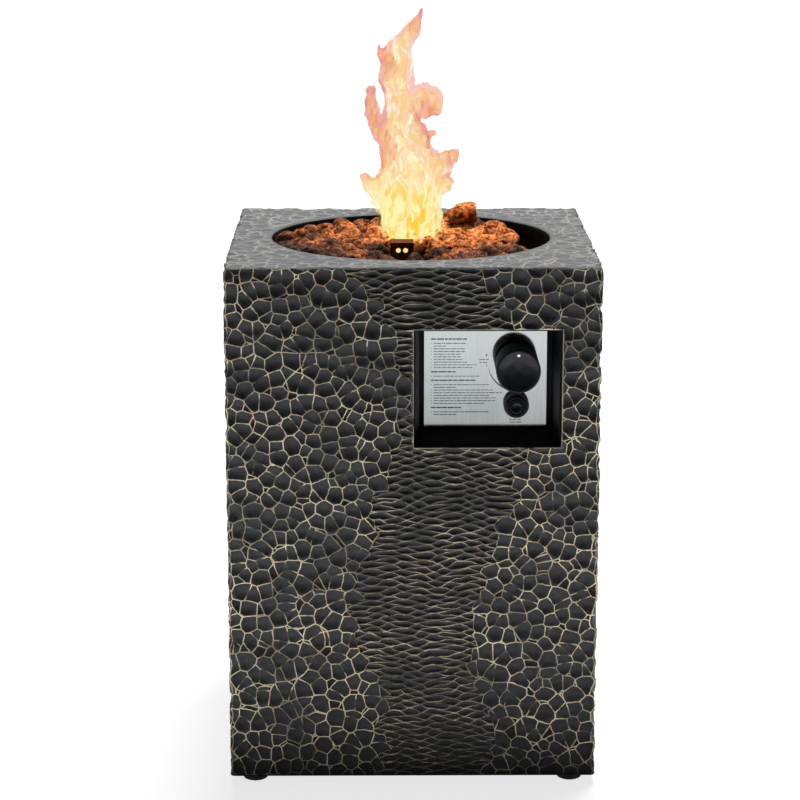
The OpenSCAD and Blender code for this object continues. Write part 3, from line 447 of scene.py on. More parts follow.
def carve_nodes(tree):
    """Depth of the carving, how much of a painted ridge, and of a pit, from the unrolled place; a pit is
    carved deeper and takes painted shade.

    The attribute holds the way round the column, the height, and 1 where the skin is the top."""
    way, height, on_top = parts_of(skin_place(tree))
    off_top = math_node("LESS_THAN", on_top, 0.5)
    flat = field(tree, "ShaderNodeCombineXYZ", {0: way, 1: height, 2: on_top * TOP_SLICE})
    wobble = vector_math("SUBTRACT", noise_at(flat, 34.0, 1.0, "Color"), (0.5, 0.5, 0.5))
    wobble = vector_math("MULTIPLY", wobble, (SCOOP_WOBBLE, SCOOP_WOBBLE, 0))

    size = Vector((SCOOP_SIZE, SCOOP_SIZE, SCOOP_SIZE))
    cells = vector_math("MULTIPLY", vector_math("ADD", flat, wobble), tuple(1 / v for v in size))
    near, ridge, centre = nearest_cells(vector_math("ADD", cells, (0, 0, SCOOP_SLICE)))
    ridge = ridge * SCOOP_SIZE
    above = parts_of(vector_math("SUBTRACT", centre, (0, 0, SCOOP_SLICE)))[2]
    above = size_of(above - on_top * (TOP_SLICE / SCOOP_SIZE))
    pit = smooth_step(above, PIT_FROM, PIT_FROM + 0.06)
    pit = pit * smooth_step(ridge, 0.3 * LINE_HALF, 2.4 * LINE_HALF) * off_top
    hollow = greatest(SCOOP_RIM ** 2 - squared(near), 0.0) * SCOOP_CURVE
    scoop_depth = multiply_add(pit, PIT_DEPTH, hollow)
    # On the top the lines are spread wider: painted highlight of the ridges.
    narrowed = math_node("DIVIDE", ridge, multiply_add(on_top, TOP_HIGHLIGHT_SPREAD, 1.0))
    scoop_line = smooth_step(narrowed, 0.35 * LINE_HALF, 1.35 * LINE_HALF, 1, 0)
    scoop_line = scoop_line * smooth_step(near, 0.38, 0.54, 0.08, 1)

    wave_depth, wave_line = braid(flat)

    middle_x, middle_z, _ = parts_of(vector_math("MULTIPLY", centre, tuple(size)))
    past_left = math_node("GREATER_THAN", middle_x, band_edge(middle_z, BAND_LEFT_MM))
    past_right = math_node("LESS_THAN", middle_x, band_edge(middle_z, BAND_RIGHT_MM))
    band = past_left * past_right * off_top

    def choose(outside, inside):
        return multiply_add(inside - outside, band, outside)

    return choose(scoop_depth, wave_depth), choose(scoop_line, wave_line), choose(pit, 0.0)


def skin_place(tree):
    """The unrolled place on the casting, as each kind of tree reads an attribute."""
    if tree.type == "GEOMETRY":
        return field(tree, "GeometryNodeInputNamedAttribute", {"Name": "skin"}, data_type="FLOAT_VECTOR")
    return attribute(tree, "skin", "Vector")


def carving_modifier():
    """Geometry Nodes that sink each point of the casting by the carving's depth times its mask."""
    tree = bpy.data.node_groups.new("carving", "GeometryNodeTree")
    for way in ("INPUT", "OUTPUT"):
        tree.interface.new_socket("Geometry", in_out=way, socket_type="NodeSocketGeometry")
    source = field(tree, "NodeGroupInput")
    result = tree.nodes.new("NodeGroupOutput")
    normal = field(tree, "GeometryNodeInputNormal")
    mask = field(tree, "GeometryNodeInputNamedAttribute", {"Name": "carve"}, data_type="FLOAT")
    depth, _, _ = carve_nodes(tree)
    offset = field(tree, "ShaderNodeVectorMath", {0: normal, 3: depth * mask * -1.0}, operation="SCALE")
    set_inputs(result, {0: field(tree, "GeometryNodeSetPosition", {"Geometry": source, "Offset": offset})})
    return tree


print("scoops", SCOOP_SIZE / MM, "mm, waves", WAVE_LENGTH / MM, "by", WAVE_PITCH / MM, "mm")

# %% [markdown]
# The skin of the casting is one grid that is wrapped like a tube round a ring: its columns go
# round the column, and its rows run up the outside, over the top, down into the mouth, and back
# along the cavity to the lower edge. The rows and columns are set so that some of them fall on
# the edges of the niche and of the rear doorway, which are then opened by deleting faces.

# %% Rows and columns of the skin
PITCH = 1.75 * MM
NICHE_X, NICHE_Z = 80.5 * MM, top_z - 133 * MM
NICHE_HALF = (80 * MM, 65 * MM)
NICHE_LEAN = 8.2 / 54 * wall
DOORWAY_HALF = 160 * MM
DOORWAY_Z = (41 * MM, 491 * MM)
CORNER_R = 5 * MM
CORNER_STEPS = 6


def spread(stations, pitch):
    """Evenly spaced values that hit every station."""
    values = [stations[0]]
    for a, b in zip(stations, stations[1:]):
        steps = max(1, round(abs(b - a) / pitch))
        values += [a + (b - a) * (i + 1) / steps for i in range(steps)]
    return np.array(values)


def ring_outline(edge, radius, lean):
    """Points round a square with round corners, counter-clockwise from the front left."""
    flat = edge - radius
    niche = (NICHE_X - NICHE_HALF[0] + lean, NICHE_X + NICHE_HALF[0] - lean)
    front_outer = [-(half - CORNER_R), NICHE_X - NICHE_HALF[0], NICHE_X + NICHE_HALF[0], half - CORNER_R]
    front_here = [-flat, niche[0], niche[1], flat]
    back_outer = [half - CORNER_R, DOORWAY_HALF, -DOORWAY_HALF, -(half - CORNER_R)]
    back_here = [flat, DOORWAY_HALF, -DOORWAY_HALF, -flat]
    front = np.interp(spread(front_outer, PITCH), front_outer, front_here)
    back = np.interp(-spread(back_outer, PITCH), [-v for v in back_outer], back_here)
    side = np.linspace(-flat, flat, len(spread([-(half - CORNER_R), half - CORNER_R], PITCH)))
    points = []
    for turn, run in enumerate((front, side, None, side)):
        if turn == 2:
            line = [Vector((x, edge)) for x in back]
        else:
            line = [Matrix.Rotation(turn * math.pi / 2, 2) @ Vector((t, -edge)) for t in run]
        start = math.radians(-90 + 90 * turn)
        middle = Matrix.Rotation(turn * math.pi / 2, 2) @ Vector((flat, -flat))
        arc = [middle + radius * Vector((math.cos(start + math.pi / 2 * i / CORNER_STEPS),
                                         math.sin(start + math.pi / 2 * i / CORNER_STEPS)))
               for i in range(1, CORNER_STEPS)]
        points += line + arc
    return np.array([tuple(p) for p in points])


outer = ring_outline(half, CORNER_R, 0)
cavity = ring_outline(half - wall, 1 * MM, NICHE_LEAN)
angles = np.arctan2(outer[:, 1], outer[:, 0])
circle = np.stack([np.cos(angles), np.sin(angles)], axis=1)
print("columns round the casting:", len(outer))

# %% The rows of the skin, from the lower outside edge round to the lower inside edge
EDGE_R = 2.6 * MM
FOOT_R = 1.5 * MM
FOOT_FADE = 6 * MM
TOP_CARVE = 0.42
MOUTH_PITCH, CAVITY_PITCH = 4.5 * MM, 60 * MM


def inset(outline, by):
    """The outer outline drawn in evenly towards the middle."""
    return outline * (1 - by / half)


rows = []


def add_row(outline, z, carve, on_top=0):
    """carve is the share of the carving's depth that this row takes."""
    rows.append((outline, z, carve, on_top))


for angle in (0, 45, 90):
    a = math.radians(angle)
    add_row(inset(outer, FOOT_R * (1 - math.sin(a))), base_z + FOOT_R * (1 - math.cos(a)), 0.0)
for z in spread([base_z + FOOT_R, DOORWAY_Z[0], NICHE_Z - NICHE_HALF[1], DOORWAY_Z[1],
                 NICHE_Z + NICHE_HALF[1], top_z - EDGE_R], PITCH)[1:]:
    add_row(outer, z, min(1.0, (z - base_z) / FOOT_FADE))
for angle in (30, 60, 90):
    a = math.radians(angle)
    add_row(inset(outer, EDGE_R * (1 - math.cos(a))), top_z - EDGE_R * (1 - math.sin(a)), 0.8, angle > 50)
top_edge = inset(outer, EDGE_R)
lip = circle * (mouth_r + EDGE_R)
top_rows = 44
for i in range(1, top_rows + 1):
    t = i / top_rows
    add_row(top_edge * (1 - t) + lip * t, top_z, TOP_CARVE * min(1.0, 6 * (1 - t)), 1)
for angle in (30, 60, 90):
    a = math.radians(angle)
    add_row(circle * (mouth_r + EDGE_R * (1 - math.sin(a))), top_z - EDGE_R * (1 - math.cos(a)), 0.0, 1)
under_top = top_z - top_wall
for z in spread([top_z - EDGE_R, under_top], MOUTH_PITCH)[1:]:
    add_row(circle * mouth_r, z, 0.0)
for t in (0.3, 0.65, 1.0):
    add_row(circle * mouth_r * (1 - t) + cavity * t, under_top, 0.0)
for z in spread([under_top, NICHE_Z + NICHE_HALF[1] - NICHE_LEAN, DOORWAY_Z[1],
                 NICHE_Z - NICHE_HALF[1] + NICHE_LEAN, DOORWAY_Z[0], base_z], CAVITY_PITCH)[1:]:
    add_row(cavity, z, 0.0)
print("rows of the skin:", len(rows))

# %% Wrap the grid, open the niche and the doorway, and carve
EDGE_FADE = 5 * MM
NICHE_LINE = 1.8 * MM
TOP_LINE = 3 * MM
SIDES, DARK_WALL, TOP = 0, 1, 2


def wrapped_skin():
    """The casting as one closed ring of quads."""
    bm = bmesh.new()
    bmesh.ops.create_grid(bm, x_segments=len(outer), y_segments=len(rows), size=0.5)
    mesh = mesh_from(bm, "cast_shell")
    flat = np.empty(len(mesh.vertices) * 3)
    mesh.vertices.foreach_get("co", flat)
    flat = flat.reshape(-1, 3)
    column = np.rint((flat[:, 0] + 0.5) * len(outer)).astype(int) % len(outer)
    row = np.rint((flat[:, 1] + 0.5) * len(rows)).astype(int) % len(rows)
    outlines = np.stack([r[0] for r in rows])
    heights = np.array([r[1] for r in rows])
    carve = np.array([r[2] for r in rows])[row]
    place = np.column_stack([outlines[row, column], heights[row]])
    mesh.vertices.foreach_set("co", place.ravel())
    x, y, z = place.T
    way_round = np.sign(x) * np.where(y < 0, np.abs(x) + y + half, 3 * half + y - np.abs(x))
    on_top = np.array([float(r[3]) for r in rows])[row]
    unrolled = np.column_stack([np.where(on_top > 0.5, x, way_round), np.where(on_top > 0.5, y, z), on_top])
    mesh.attributes.new("skin", "FLOAT_VECTOR", "POINT").data.foreach_set("vector", unrolled.ravel())
    carve[(np.abs(x) < 1.5 * PITCH) & (y > half - 1 * MM)] = 0.0
    niche_gap = np.maximum(np.abs(x - NICHE_X) - NICHE_HALF[0], np.abs(z - NICHE_Z) - NICHE_HALF[1])
    door_gap = np.maximum(np.abs(x) - DOORWAY_HALF,
                          np.abs(z - sum(DOORWAY_Z) / 2) - (DOORWAY_Z[1] - DOORWAY_Z[0]) / 2)
    gap = np.where(y < 0, niche_gap, door_gap)
    gap[np.abs(y) < half - 2 * wall] = 1.0
    carve *= np.clip(gap / EDGE_FADE, 0.0, 1.0)
    on_front = (y < 0) & (np.abs(y) > half - 2 * MM)
    rim = np.where(on_front, 0.9 * np.clip(1 - gap / NICHE_LINE, 0.0, 1.0), 0.0)
    rim = np.maximum(rim, 0.8 * np.clip(1 - (top_z - z) / TOP_LINE, 0.0, 1.0) * (on_top < 0.5))
    mesh.attributes.new("rim", "FLOAT", "POINT").data.foreach_set("value", rim)
    mesh.attributes.new("carve", "FLOAT", "POINT").data.foreach_set("value", carve)
    return mesh


def open_hole(bm, in_hole, material_index):
    """Deletes the outer and inner faces in a hole and joins the two rims."""
    gone = [f for f in bm.faces if in_hole(f.calc_center_median())]
    bmesh.ops.delete(bm, geom=gone, context="FACES")
    rim = [e for e in bm.edges if e.is_boundary]
    made = bmesh.ops.bridge_loops(bm, edges=rim)["faces"]
    for face in made:
        face.material_index = material_index
    return len(made)


def in_niche(c):
    return (c.y < -half + 1.5 * wall and abs(c.x - NICHE_X) < NICHE_HALF[0]
            and abs(c.z - NICHE_Z) < NICHE_HALF[1])


def in_doorway(c):
    return c.y > half - 1.5 * wall and abs(c.x) < DOORWAY_HALF and DOORWAY_Z[0] < c.z < DOORWAY_Z[1]


skin_mesh = wrapped_skin()
bm = bmesh.new()
bm.from_mesh(skin_mesh)
rim_verts = [v for v in bm.verts if v.is_boundary]
bmesh.ops.remove_doubles(bm, verts=rim_verts, dist=0.01 * MM)
bm.faces.ensure_lookup_table()
print("faces in the niche's wall:", open_hole(bm, in_niche, DARK_WALL))
print("faces in the doorway's wall:", open_hole(bm, in_doorway, SIDES))
bmesh.ops.recalc_face_normals(bm, faces=bm.faces)
for face in bm.faces:
    middle = face.calc_center_median()
    if middle.z > top_z - 1.3 * MM and face.normal.z > 0.7:
        face.material_index = TOP
    elif middle.xy.length < mouth_r + 1.8 * MM and middle.z > top_z - top_wall - 1 * MM:
        face.material_index = DARK_WALL
print("open edges:", sum(e.is_boundary for e in bm.edges), "faces:", len(bm.faces))
bm.to_mesh(skin_mesh)
bm.free()
cast_shell = add_object("cast_shell", skin_mesh)


def bake_modifiers(obj):
    """Replaces the object's mesh by what its modifiers make of it."""
    shown = obj.evaluated_get(bpy.context.evaluated_depsgraph_get())
    mesh = bpy.data.meshes.new_from_object(shown)
    obj.modifiers.clear()
    obj.data = mesh
    return mesh


carve = cast_shell.modifiers.new("carving", "NODES")
carve.node_group = carving_modifier()
thin = cast_shell.modifiers.new("thin", "DECIMATE")
MAX_TRIANGLES = 190000
full = 2 * len(skin_mesh.polygons)
thin.ratio = min(1.0, MAX_TRIANGLES / full)
shell_mesh = bake_modifiers(cast_shell)
shell_mesh.shade_smooth()
print("casting:", full, "triangles before,", sum(len(p.vertices) - 2 for p in shell_mesh.polygons), "after")

# %% [markdown]
# ## Finish of the casting
# Charcoal paint with a soft shine, slightly paler and rougher on the raised parts, and pale gold
# brushed over the ridges. The brush misses some of them and frays at its edges.

# %% Casting material
GOLD = ((0.60, 0.54, 0.37), (0.60, 0.41, 0.27))
# Paler, greyer gold for the top: painted sheen of the light on the top.
TOP_SHEEN_GOLD = ((0.40, 0.385, 0.345), (0.40, 0.35, 0.30))
# Near black for the deeper pits: painted shade in the recesses.
PIT_SHADE = (0.004, 0.003, 0.003)


def casting_material(name, dark, light, brightness, gold):
    """Paint between dark and light, with painted shade in the pits, and gold of this brightness on the
    ridges.
    """
    material, tree, shader = blank_material(name)
    place = object_place(tree)
    depth, line, pit = carve_nodes(tree)
    patches, fray = noise_at(place, 22.0, 3.0), noise_at(place, 700.0, 3.0)
    brush = smooth_step(patches, 0.34, 0.60, 0.30, 0.95) * smooth_step(fray, 0.25, 0.60, 0.55, 1.0)
    outside = attribute(tree, "carve")
    carved = smooth_step(outside, 0.02, 0.25)
    way, _, on_top = parts_of(skin_place(tree))
    on_side = carved * math_node("LESS_THAN", on_top, 0.5)
    corner = smooth_step(size_of(size_of(way) - half), 0.4 * MM, 1.8 * MM, 0.8, 0.0)
    line = greatest(line * carved, corner * on_side)
    edge = smooth_step(attribute(tree, "rim"), 0.50, 1.0, 0.0, 0.95)
    painted = greatest(math_node("MULTIPLY", line, brush, clamp=True) * brightness, edge)
    grain = noise_at(place, 260.0, 5.0)
    # Painted shade: the deeper pits on the sides are painted near black.
    paint = mix_colour(pit * on_side * 0.75, mix_colour(grain, dark, light), PIT_SHADE)
    gold_paint = mix_colour(smooth_step(noise_at(place, 55.0, 2.0), 0.48, 0.72), *gold)
    rough = multiply_add(painted, 0.2, multiply_add(grain, 0.22, 0.45))
    relief = bump(depth * -1.0 * outside, 0.6, 1000.0, Normal=bump(grain, 0.25, 0.6))
    set_inputs(shader, {"Base Color": mix_colour(painted, paint, gold_paint), "Roughness": rough,
                        "Specular IOR Level": 0.07, "Normal": relief})
    return material


def niche_material():
    material, tree, shader = blank_material("niche_paint")
    grain = noise_at(object_place(tree), 420.0, 4.0)
    set_inputs(shader, {"Base Color": mix_colour(grain, (0.003, 0.0035, 0.0045), (0.007, 0.008, 0.010)),
                        "Roughness": multiply_add(grain, 0.25, 0.45), "Specular IOR Level": 0.06,
                        "Normal": bump(grain, 0.2, 0.3)})
    return material


CHARCOAL = ((0.0125, 0.0128, 0.0138), (0.030, 0.0305, 0.032))
# The top takes a paler grey than the sides' charcoal: painted sheen of the light falling on the top.
TOP_SHEEN_GREY = ((0.080, 0.082, 0.085), (0.124, 0.126, 0.127))
for material in (casting_material("scooped_casting", *CHARCOAL, 0.82, GOLD), niche_material(),
                 casting_material("casting_top", *TOP_SHEEN_GREY, 0.60, TOP_SHEEN_GOLD)):
    shell_mesh.materials.append(material)
faces_of_each = np.zeros(len(shell_mesh.polygons), dtype=int)
shell_mesh.polygons.foreach_get("material_index", faces_of_each)
print("faces of the sides, the niche and the top:", np.bincount(faces_of_each).tolist())
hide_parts("column_shell")
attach(cast_shell, "column")
print("casting dressed")

# %% [markdown]
# ## Plain finishes
# The metals, plastics and rubber that show a little, or only with the door open, share one
# recipe: two scales of noise vary the colour and the gloss, and give a fine relief. The brushed
# plate stretches the noise upwards.

# %% One recipe for the plain finishes


def plain_finish(name, dark, light, metallic, rough, grain, bump_mm, specular=0.5, stretch=(1, 1, 1)):
    """Noise between two colours and between two roughnesses, with a relief of bump_mm."""
    material, tree, shader = blank_material(name)
    place = object_place(tree)
    fine = noise_at(vector_math("MULTIPLY", place, stretch), grain, 4.0)
    share = smooth_step(multiply_add(noise_at(place, 25.0, 3.0), 0.5, fine * 0.5), 0.32, 0.68)
    low, high = rough
    set_inputs(shader, {"Base Color": mix_colour(share, dark, light), "Metallic": metallic,
                        "Roughness": multiply_add(share, high - low, low),
                        "Specular IOR Level": specular, "Normal": bump(fine, 0.5, bump_mm)})
    return material


BRUSHED_UP = (1, 1, 0.04)
RECIPES = {
    "black_rubber": ((0.010, 0.010, 0.011), (0.028, 0.028, 0.029), 0.0, (0.6, 0.85), 900.0, 0.15),
    "zinc_steel": ((0.24, 0.245, 0.25), (0.42, 0.42, 0.41), 1.0, (0.34, 0.52), 500.0, 0.05),
    "black_steel": ((0.007, 0.007, 0.008), (0.020, 0.020, 0.021), 0.0, (0.48, 0.66), 700.0, 0.20, 0.16),
    "matte_black_steel": ((0.003, 0.0035, 0.0045), (0.007, 0.008, 0.010), 0.0, (0.5, 0.7), 900.0, 0.12, 0.06),
    "silver_plate": ((0.49, 0.525, 0.525), (0.55, 0.585, 0.585), 1.0, (0.05, 0.10), 700.0, 0.002, 0.5,
                     BRUSHED_UP),
    "knob_plastic": ((0.0025, 0.0035, 0.004), (0.005, 0.0065, 0.0075), 0.0, (0.15, 0.21), 1500.0, 0.004,
                     0.11),
    # knob_side is the knob's plastic made paler and bluish: painted sheen for the drum's side.
    "knob_side": ((0.016, 0.020, 0.0215), (0.028, 0.033, 0.035), 0.0, (0.62, 0.75), 1500.0, 0.02, 0.15),
    "black_plastic": ((0.010, 0.011, 0.012), (0.022, 0.023, 0.025), 0.0, (0.35, 0.5), 1400.0, 0.03),
    "white_plastic": ((0.70, 0.70, 0.69), (0.80, 0.80, 0.78), 0.0, (0.3, 0.4), 1400.0, 0.02),
    "chromed_metal": ((0.22, 0.225, 0.235), (0.40, 0.405, 0.415), 1.0, (0.22, 0.36), 300.0, 0.01),
    "valve_aluminium": ((0.44, 0.45, 0.46), (0.60, 0.60, 0.61), 1.0, (0.45, 0.62), 1200.0, 0.12),
    "spring_steel": ((0.38, 0.38, 0.38), (0.55, 0.54, 0.52), 1.0, (0.22, 0.35), 900.0, 0.03),
    "brass": ((0.55, 0.38, 0.14), (0.74, 0.55, 0.24), 1.0, (0.22, 0.38), 600.0, 0.04),
    "tube_steel": ((0.46, 0.45, 0.43), (0.62, 0.61, 0.58), 1.0, (0.3, 0.45), 600.0, 0.04),
    "stainless_steel": ((0.035, 0.027, 0.022), (0.11, 0.085, 0.07), 1.0, (0.48, 0.65), 120.0, 0.06),
    "bowl_black": ((0.003, 0.003, 0.003), (0.012, 0.010, 0.009), 0.0, (0.6, 0.85), 500.0, 0.2, 0.1),
    "battery_label": ((0.03, 0.05, 0.09), (0.05, 0.08, 0.13), 0.0, (0.25, 0.35), 900.0, 0.01),
    "scorched_steel": ((0.026, 0.005, 0.002), (0.14, 0.026, 0.009), 0.0, (0.5, 0.75), 260.0, 0.15, 0.06),
    "white_ceramic": ((0.70, 0.68, 0.63), (0.80, 0.79, 0.75), 0.0, (0.25, 0.4), 700.0, 0.03),
    "copper_alloy": ((0.55, 0.27, 0.15), (0.75, 0.42, 0.26), 1.0, (0.25, 0.42), 700.0, 0.04),
    "red_wire": ((0.32, 0.02, 0.015), (0.45, 0.04, 0.03), 0.0, (0.4, 0.55), 900.0, 0.03),
    "plate_ink": ((0.045, 0.048, 0.05), (0.10, 0.105, 0.11), 0.0, (0.5, 0.65), 2500.0, 0.005),
}
finishes = {name: plain_finish(name, *recipe) for name, recipe in RECIPES.items()}
slot_of = {part["node"]: part["material_slot"] for part in frame["record"]["subparts"]}
dressed = 0
for node_name, slot_name in slot_of.items():
    if slot_name in finishes:
        node_mesh = nodes[node_name].data
        node_mesh.materials.clear()
        node_mesh.materials.append(finishes[slot_name])
        dressed += 1
print("nodes with a plain finish:", dressed)

# %% [markdown]
# ## Lava rock
# The bed is more than two hundred loose pieces of lava rock. Their places and sizes come from the
# CAD node, whose loose parts are rough stand-ins, and the two that lie highest become one large
# rock. Each rock starts as an icosphere that loses flat chips, and noise pushes its points in and
# out. Rocks on top get more faces than those that lie covered. The pits, too small for faces, are
# relief in the material, which also paints them darker as shade. The material paints shade low down
# on each rock, and the flame's orange light and a glow on the rocks near it.

# %% Where the rocks lie


def loose_parts(mesh):
    """Middle and mean radius of each loose part of a mesh of loose triangles, lowest first."""
    bm = bmesh.new()
    bm.from_mesh(mesh)
    bmesh.ops.remove_doubles(bm, verts=bm.verts, dist=0.02 * MM)
    seen, parts = set(), []
    for start in bm.verts:
        if start in seen:
            continue
        seen.add(start)
        island, queue = [], [start]
        while queue:
            vert = queue.pop()
            island.append(vert.co.copy())
            for edge in vert.link_edges:
                other = edge.other_vert(vert)
                if other not in seen:
                    seen.add(other)
                    queue.append(other)
        middle = sum(island, Vector()) / len(island)
        radius = sum((v - middle).length for v in island) / len(island)
        parts.append((middle, radius))
    bm.free()
    return sorted(parts, key=lambda part: tuple(round(v, 5) for v in (part[0].z, part[0].y, part[0].x)))


rock_places = loose_parts(nodes["lava_rocks"].data)
mean_radius = sum(radius for _, radius in rock_places) / len(rock_places)
print("rocks:", len(rock_places), "mean radius", round(mean_radius / MM, 1), "mm")

# %% Shape the rocks
ROCK_SWELL = (0.90, 1.12)
BOULDER_SWELL = 1.42
TOP_LAYER = 20 * MM
CHIPS = 8
CHIP_FROM = (0.52, 0.80)
LUMPS = ((1.7, 0.16), (4.0, 0.12), (7.5, 0.11))


def with_boulder(places):
    """The rocks of the top layer as one large rock between them."""
    high = [part for part in places if part[0].z > rock_high.z - TOP_LAYER]
    middle = sum((part[0] for part in high), Vector()) / len(high) - Vector((0, 0, 2 * MM))
    radius = BOULDER_SWELL * sum(part[1] for part in high) / len(high)
    print("large rock at", [round(v / MM) for v in middle], "mm in place of", len(high))
    return [part for part in places if part not in high] + [(middle, radius)]


rock_places = with_boulder(rock_places)
rng = random.Random(7)


def is_covered(middle, radius):
    """True where other rocks lie on top of this one."""
    over = [m for m, r in rock_places if m.z > middle.z + 0.3 * radius
            and (m.xy - middle.xy).length < 0.62 * (r + radius)]
    return len(over) > 1


def chipped(along, planes):
    """Distance to the surface of a ball with flat chips struck off it."""
    reach = 1.0
    for facing, cut in planes:
        toward = along.dot(facing)
        if toward > cut:
            reach = min(reach, cut / toward)
    return reach


def random_vector(draw, *between):
    """Three draws, one after another."""
    return Vector([draw(*between) for _ in range(3)])


def rock_bed():
    """Every rock, with a tint of its own, and how low each point lies on its rock."""
    bm = bmesh.new()
    tint = bm.verts.layers.float.new("tint")
    low = bm.verts.layers.float.new("low")
    shown = 0
    for middle, radius in rock_places:
        covered = is_covered(middle, radius)
        shown += not covered
        made = bmesh.ops.create_icosphere(bm, subdivisions=1 if covered else 3, radius=1.0)["verts"]
        seed = random_vector(rng.uniform, 0, 90)
        planes = [(random_vector(rng.gauss, 0, 1).normalized(), rng.uniform(*CHIP_FROM))
                  for _ in range(CHIPS)]
        stretch = Vector((rng.uniform(0.95, 1.22), rng.uniform(0.9, 1.15), rng.uniform(0.8, 1.0)))
        turned = Matrix.Rotation(rng.uniform(0, 6.3), 3, "Z")
        shade = rng.random()
        swell = rng.uniform(*ROCK_SWELL)
        for vert in made:
            along = vert.co.normalized()
            lump = sum(noise.noise(along * fine + seed) * height for fine, height in LUMPS)
            shape = along * (1.24 * chipped(along, planes) + lump)
            shape = turned @ Vector((shape.x * stretch.x, shape.y * stretch.y, shape.z * stretch.z))
            vert.co = middle + shape * radius * swell
            vert.co.z = min(max(vert.co.z, rock_low.z), rock_high.z)
            vert[tint] = shade
            vert[low] = 0.5 - 0.5 * shape.z
    mesh = mesh_from(bm, "lava_rock_bed")
    mesh.shade_smooth()
    print("rocks that show:", shown)
    return mesh


def lava_material():
    """Dark pitted rock, painted redder and brighter with the flame's light near it, with a painted glow
    there, and with painted shade low down on each rock and in its pits and crags.
    """
    material, tree, shader = blank_material("lava_rock")
    place = object_place(tree)
    tint, low = attribute(tree, "tint"), attribute(tree, "low")
    # Painted flame light: near the flame, and back from the front edge, the rocks are painted orange and
    # given a glow, though only the flame and its lamp give light.
    from_flame = vector_math("MULTIPLY", vector_math("SUBTRACT", place, (0.03, 0.03, 0.59)), (0.7, 1.0, 0.6))
    painted_flame_light = smooth_step(length_of(from_flame), 0.02, 0.15, 1.0, 0.0)
    painted_flame_light = painted_flame_light * smooth_step(parts_of(place)[1], -0.13, -0.06, 0.0, 1.0)
    grain = noise_at(place, 150.0, 5.0, Roughness=0.65)
    patch = noise_at(place, 48.0, 2.0)
    pits = field(tree, "ShaderNodeTexVoronoi", {"Vector": place, "Scale": 300.0}, "Distance")
    crags = noise_at(place, 165.0, 2.0, Distortion=0.8)
    open_pit = smooth_step(pits, 0.14, 0.36) * smooth_step(crags, 0.38, 0.50, 0.12, 1.0)
    cold = mix_colour(smooth_step(grain, 0.38, 0.64), (0.007, 0.003, 0.002), (0.135, 0.050, 0.026))
    warm = mix_colour(smooth_step(grain, 0.38, 0.60), (0.07, 0.011, 0.003), (0.84, 0.25, 0.066))
    tone_and_flame_light = multiply_add(patch - 0.5, 1.1, multiply_add(tint, 0.75, painted_flame_light - 0.26), clamp=True)
    # Painted shade: darker low down on each rock, where it lies under and between others, and darker in the
    # pits and crags.
    shade = smooth_step(low, 0.30, 0.78, 1.0, 0.10) * multiply_add(open_pit, 0.65, 0.35)
    painted_glow = squared(painted_flame_light) * smooth_step(patch, 0.42, 0.66) * shade
    set_inputs(shader, {
        "Base Color": mix_colour(shade, (0.006, 0.004, 0.0035), mix_colour(tone_and_flame_light, cold, warm)),
        "Emission Color": mix_colour(painted_glow, (0, 0, 0), (1.0, 0.34, 0.07)), "Emission Strength": 0.4,
        "Specular IOR Level": 0.12, "Roughness": multiply_add(grain, 0.25, 0.65),
        "Normal": bump(multiply_add(open_pit, 0.35, grain), 0.9, 2.6)})
    return material


def add_piece(name, mesh, material, body, replaced=()):
    """Links a mesh as a piece that rides on a body and takes a finish."""
    piece = add_object(name, mesh)
    if material:
        mesh.materials.clear()
        mesh.materials.append(material)
    if replaced:
        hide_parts(*replaced)
    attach(piece, body)
    return piece


rocks = add_piece("lava_rock_bed", rock_bed(), lava_material(), "column", ["lava_rocks"])
print("rock faces:", len(rocks.data.polygons))

# %% [markdown]
# ## Print on the plate
# Rows of plain dashes give the plate its print, with a small diamond, a tick and a tapered arc
# round the knob that shows which way the flame grows. They are ink: cut from a sheet a twentieth
# of a millimetre thick, which lies on the plate.

# %% Dashes, ticks and the arc
INK = 0.05 * MM
ink_y = plate_low.y
axis_x, axis_z = (knob_low.x + knob_high.x) / 2, (knob_low.z + knob_high.z) / 2
PRINT_BLOCKS_MM = ((39, (36, 13, 34, 35, 31, 30, 31, 36, 47, 42)), (27, (50,)),
                   (49, (61, 26, 65, 75, 61, 70, 69, 58)), (33, (61, 26)))
BULLET_FROM_MM = 30
LINE_STEP, HEADING_STEP, BLOCK_GAP = 3.0 * MM, 4.6 * MM, 2.0 * MM
SMALL_LINE_STEP = 3.1
ARC_R = 31.2 * MM
ARC_FROM, ARC_SWEEP, ARC_STEPS = 192, 70, 24
ARC_THIN, ARC_THICK = 0.12 * MM, 1.25 * MM


def flat_shape(bm, points):
    """A sheet of ink with this outline, given as x and z."""
    verts = [bm.verts.new((x, ink_y - INK, z)) for x, z in points]
    face = bm.faces.new(verts)
    thick = bmesh.ops.extrude_face_region(bm, geom=[face])["geom"]
    bmesh.ops.translate(bm, verts=[g for g in thick if isinstance(g, bmesh.types.BMVert)], vec=(0, INK, 0))


def dash(bm, x, z, length, height):
    flat_shape(bm, [(x, z), (x + length, z), (x + length, z + height), (x, z + height)])


def words(bm, x, z, width, height, shortest=1.6, longest=6.5):
    """A row of dashes of random length, in millimetres between shortest and longest."""
    end = x + width
    while x < end - shortest * MM:
        length = min(rng.uniform(shortest, longest) * MM, end - x)
        dash(bm, x, z, length, height)
        x += length + 0.8 * MM


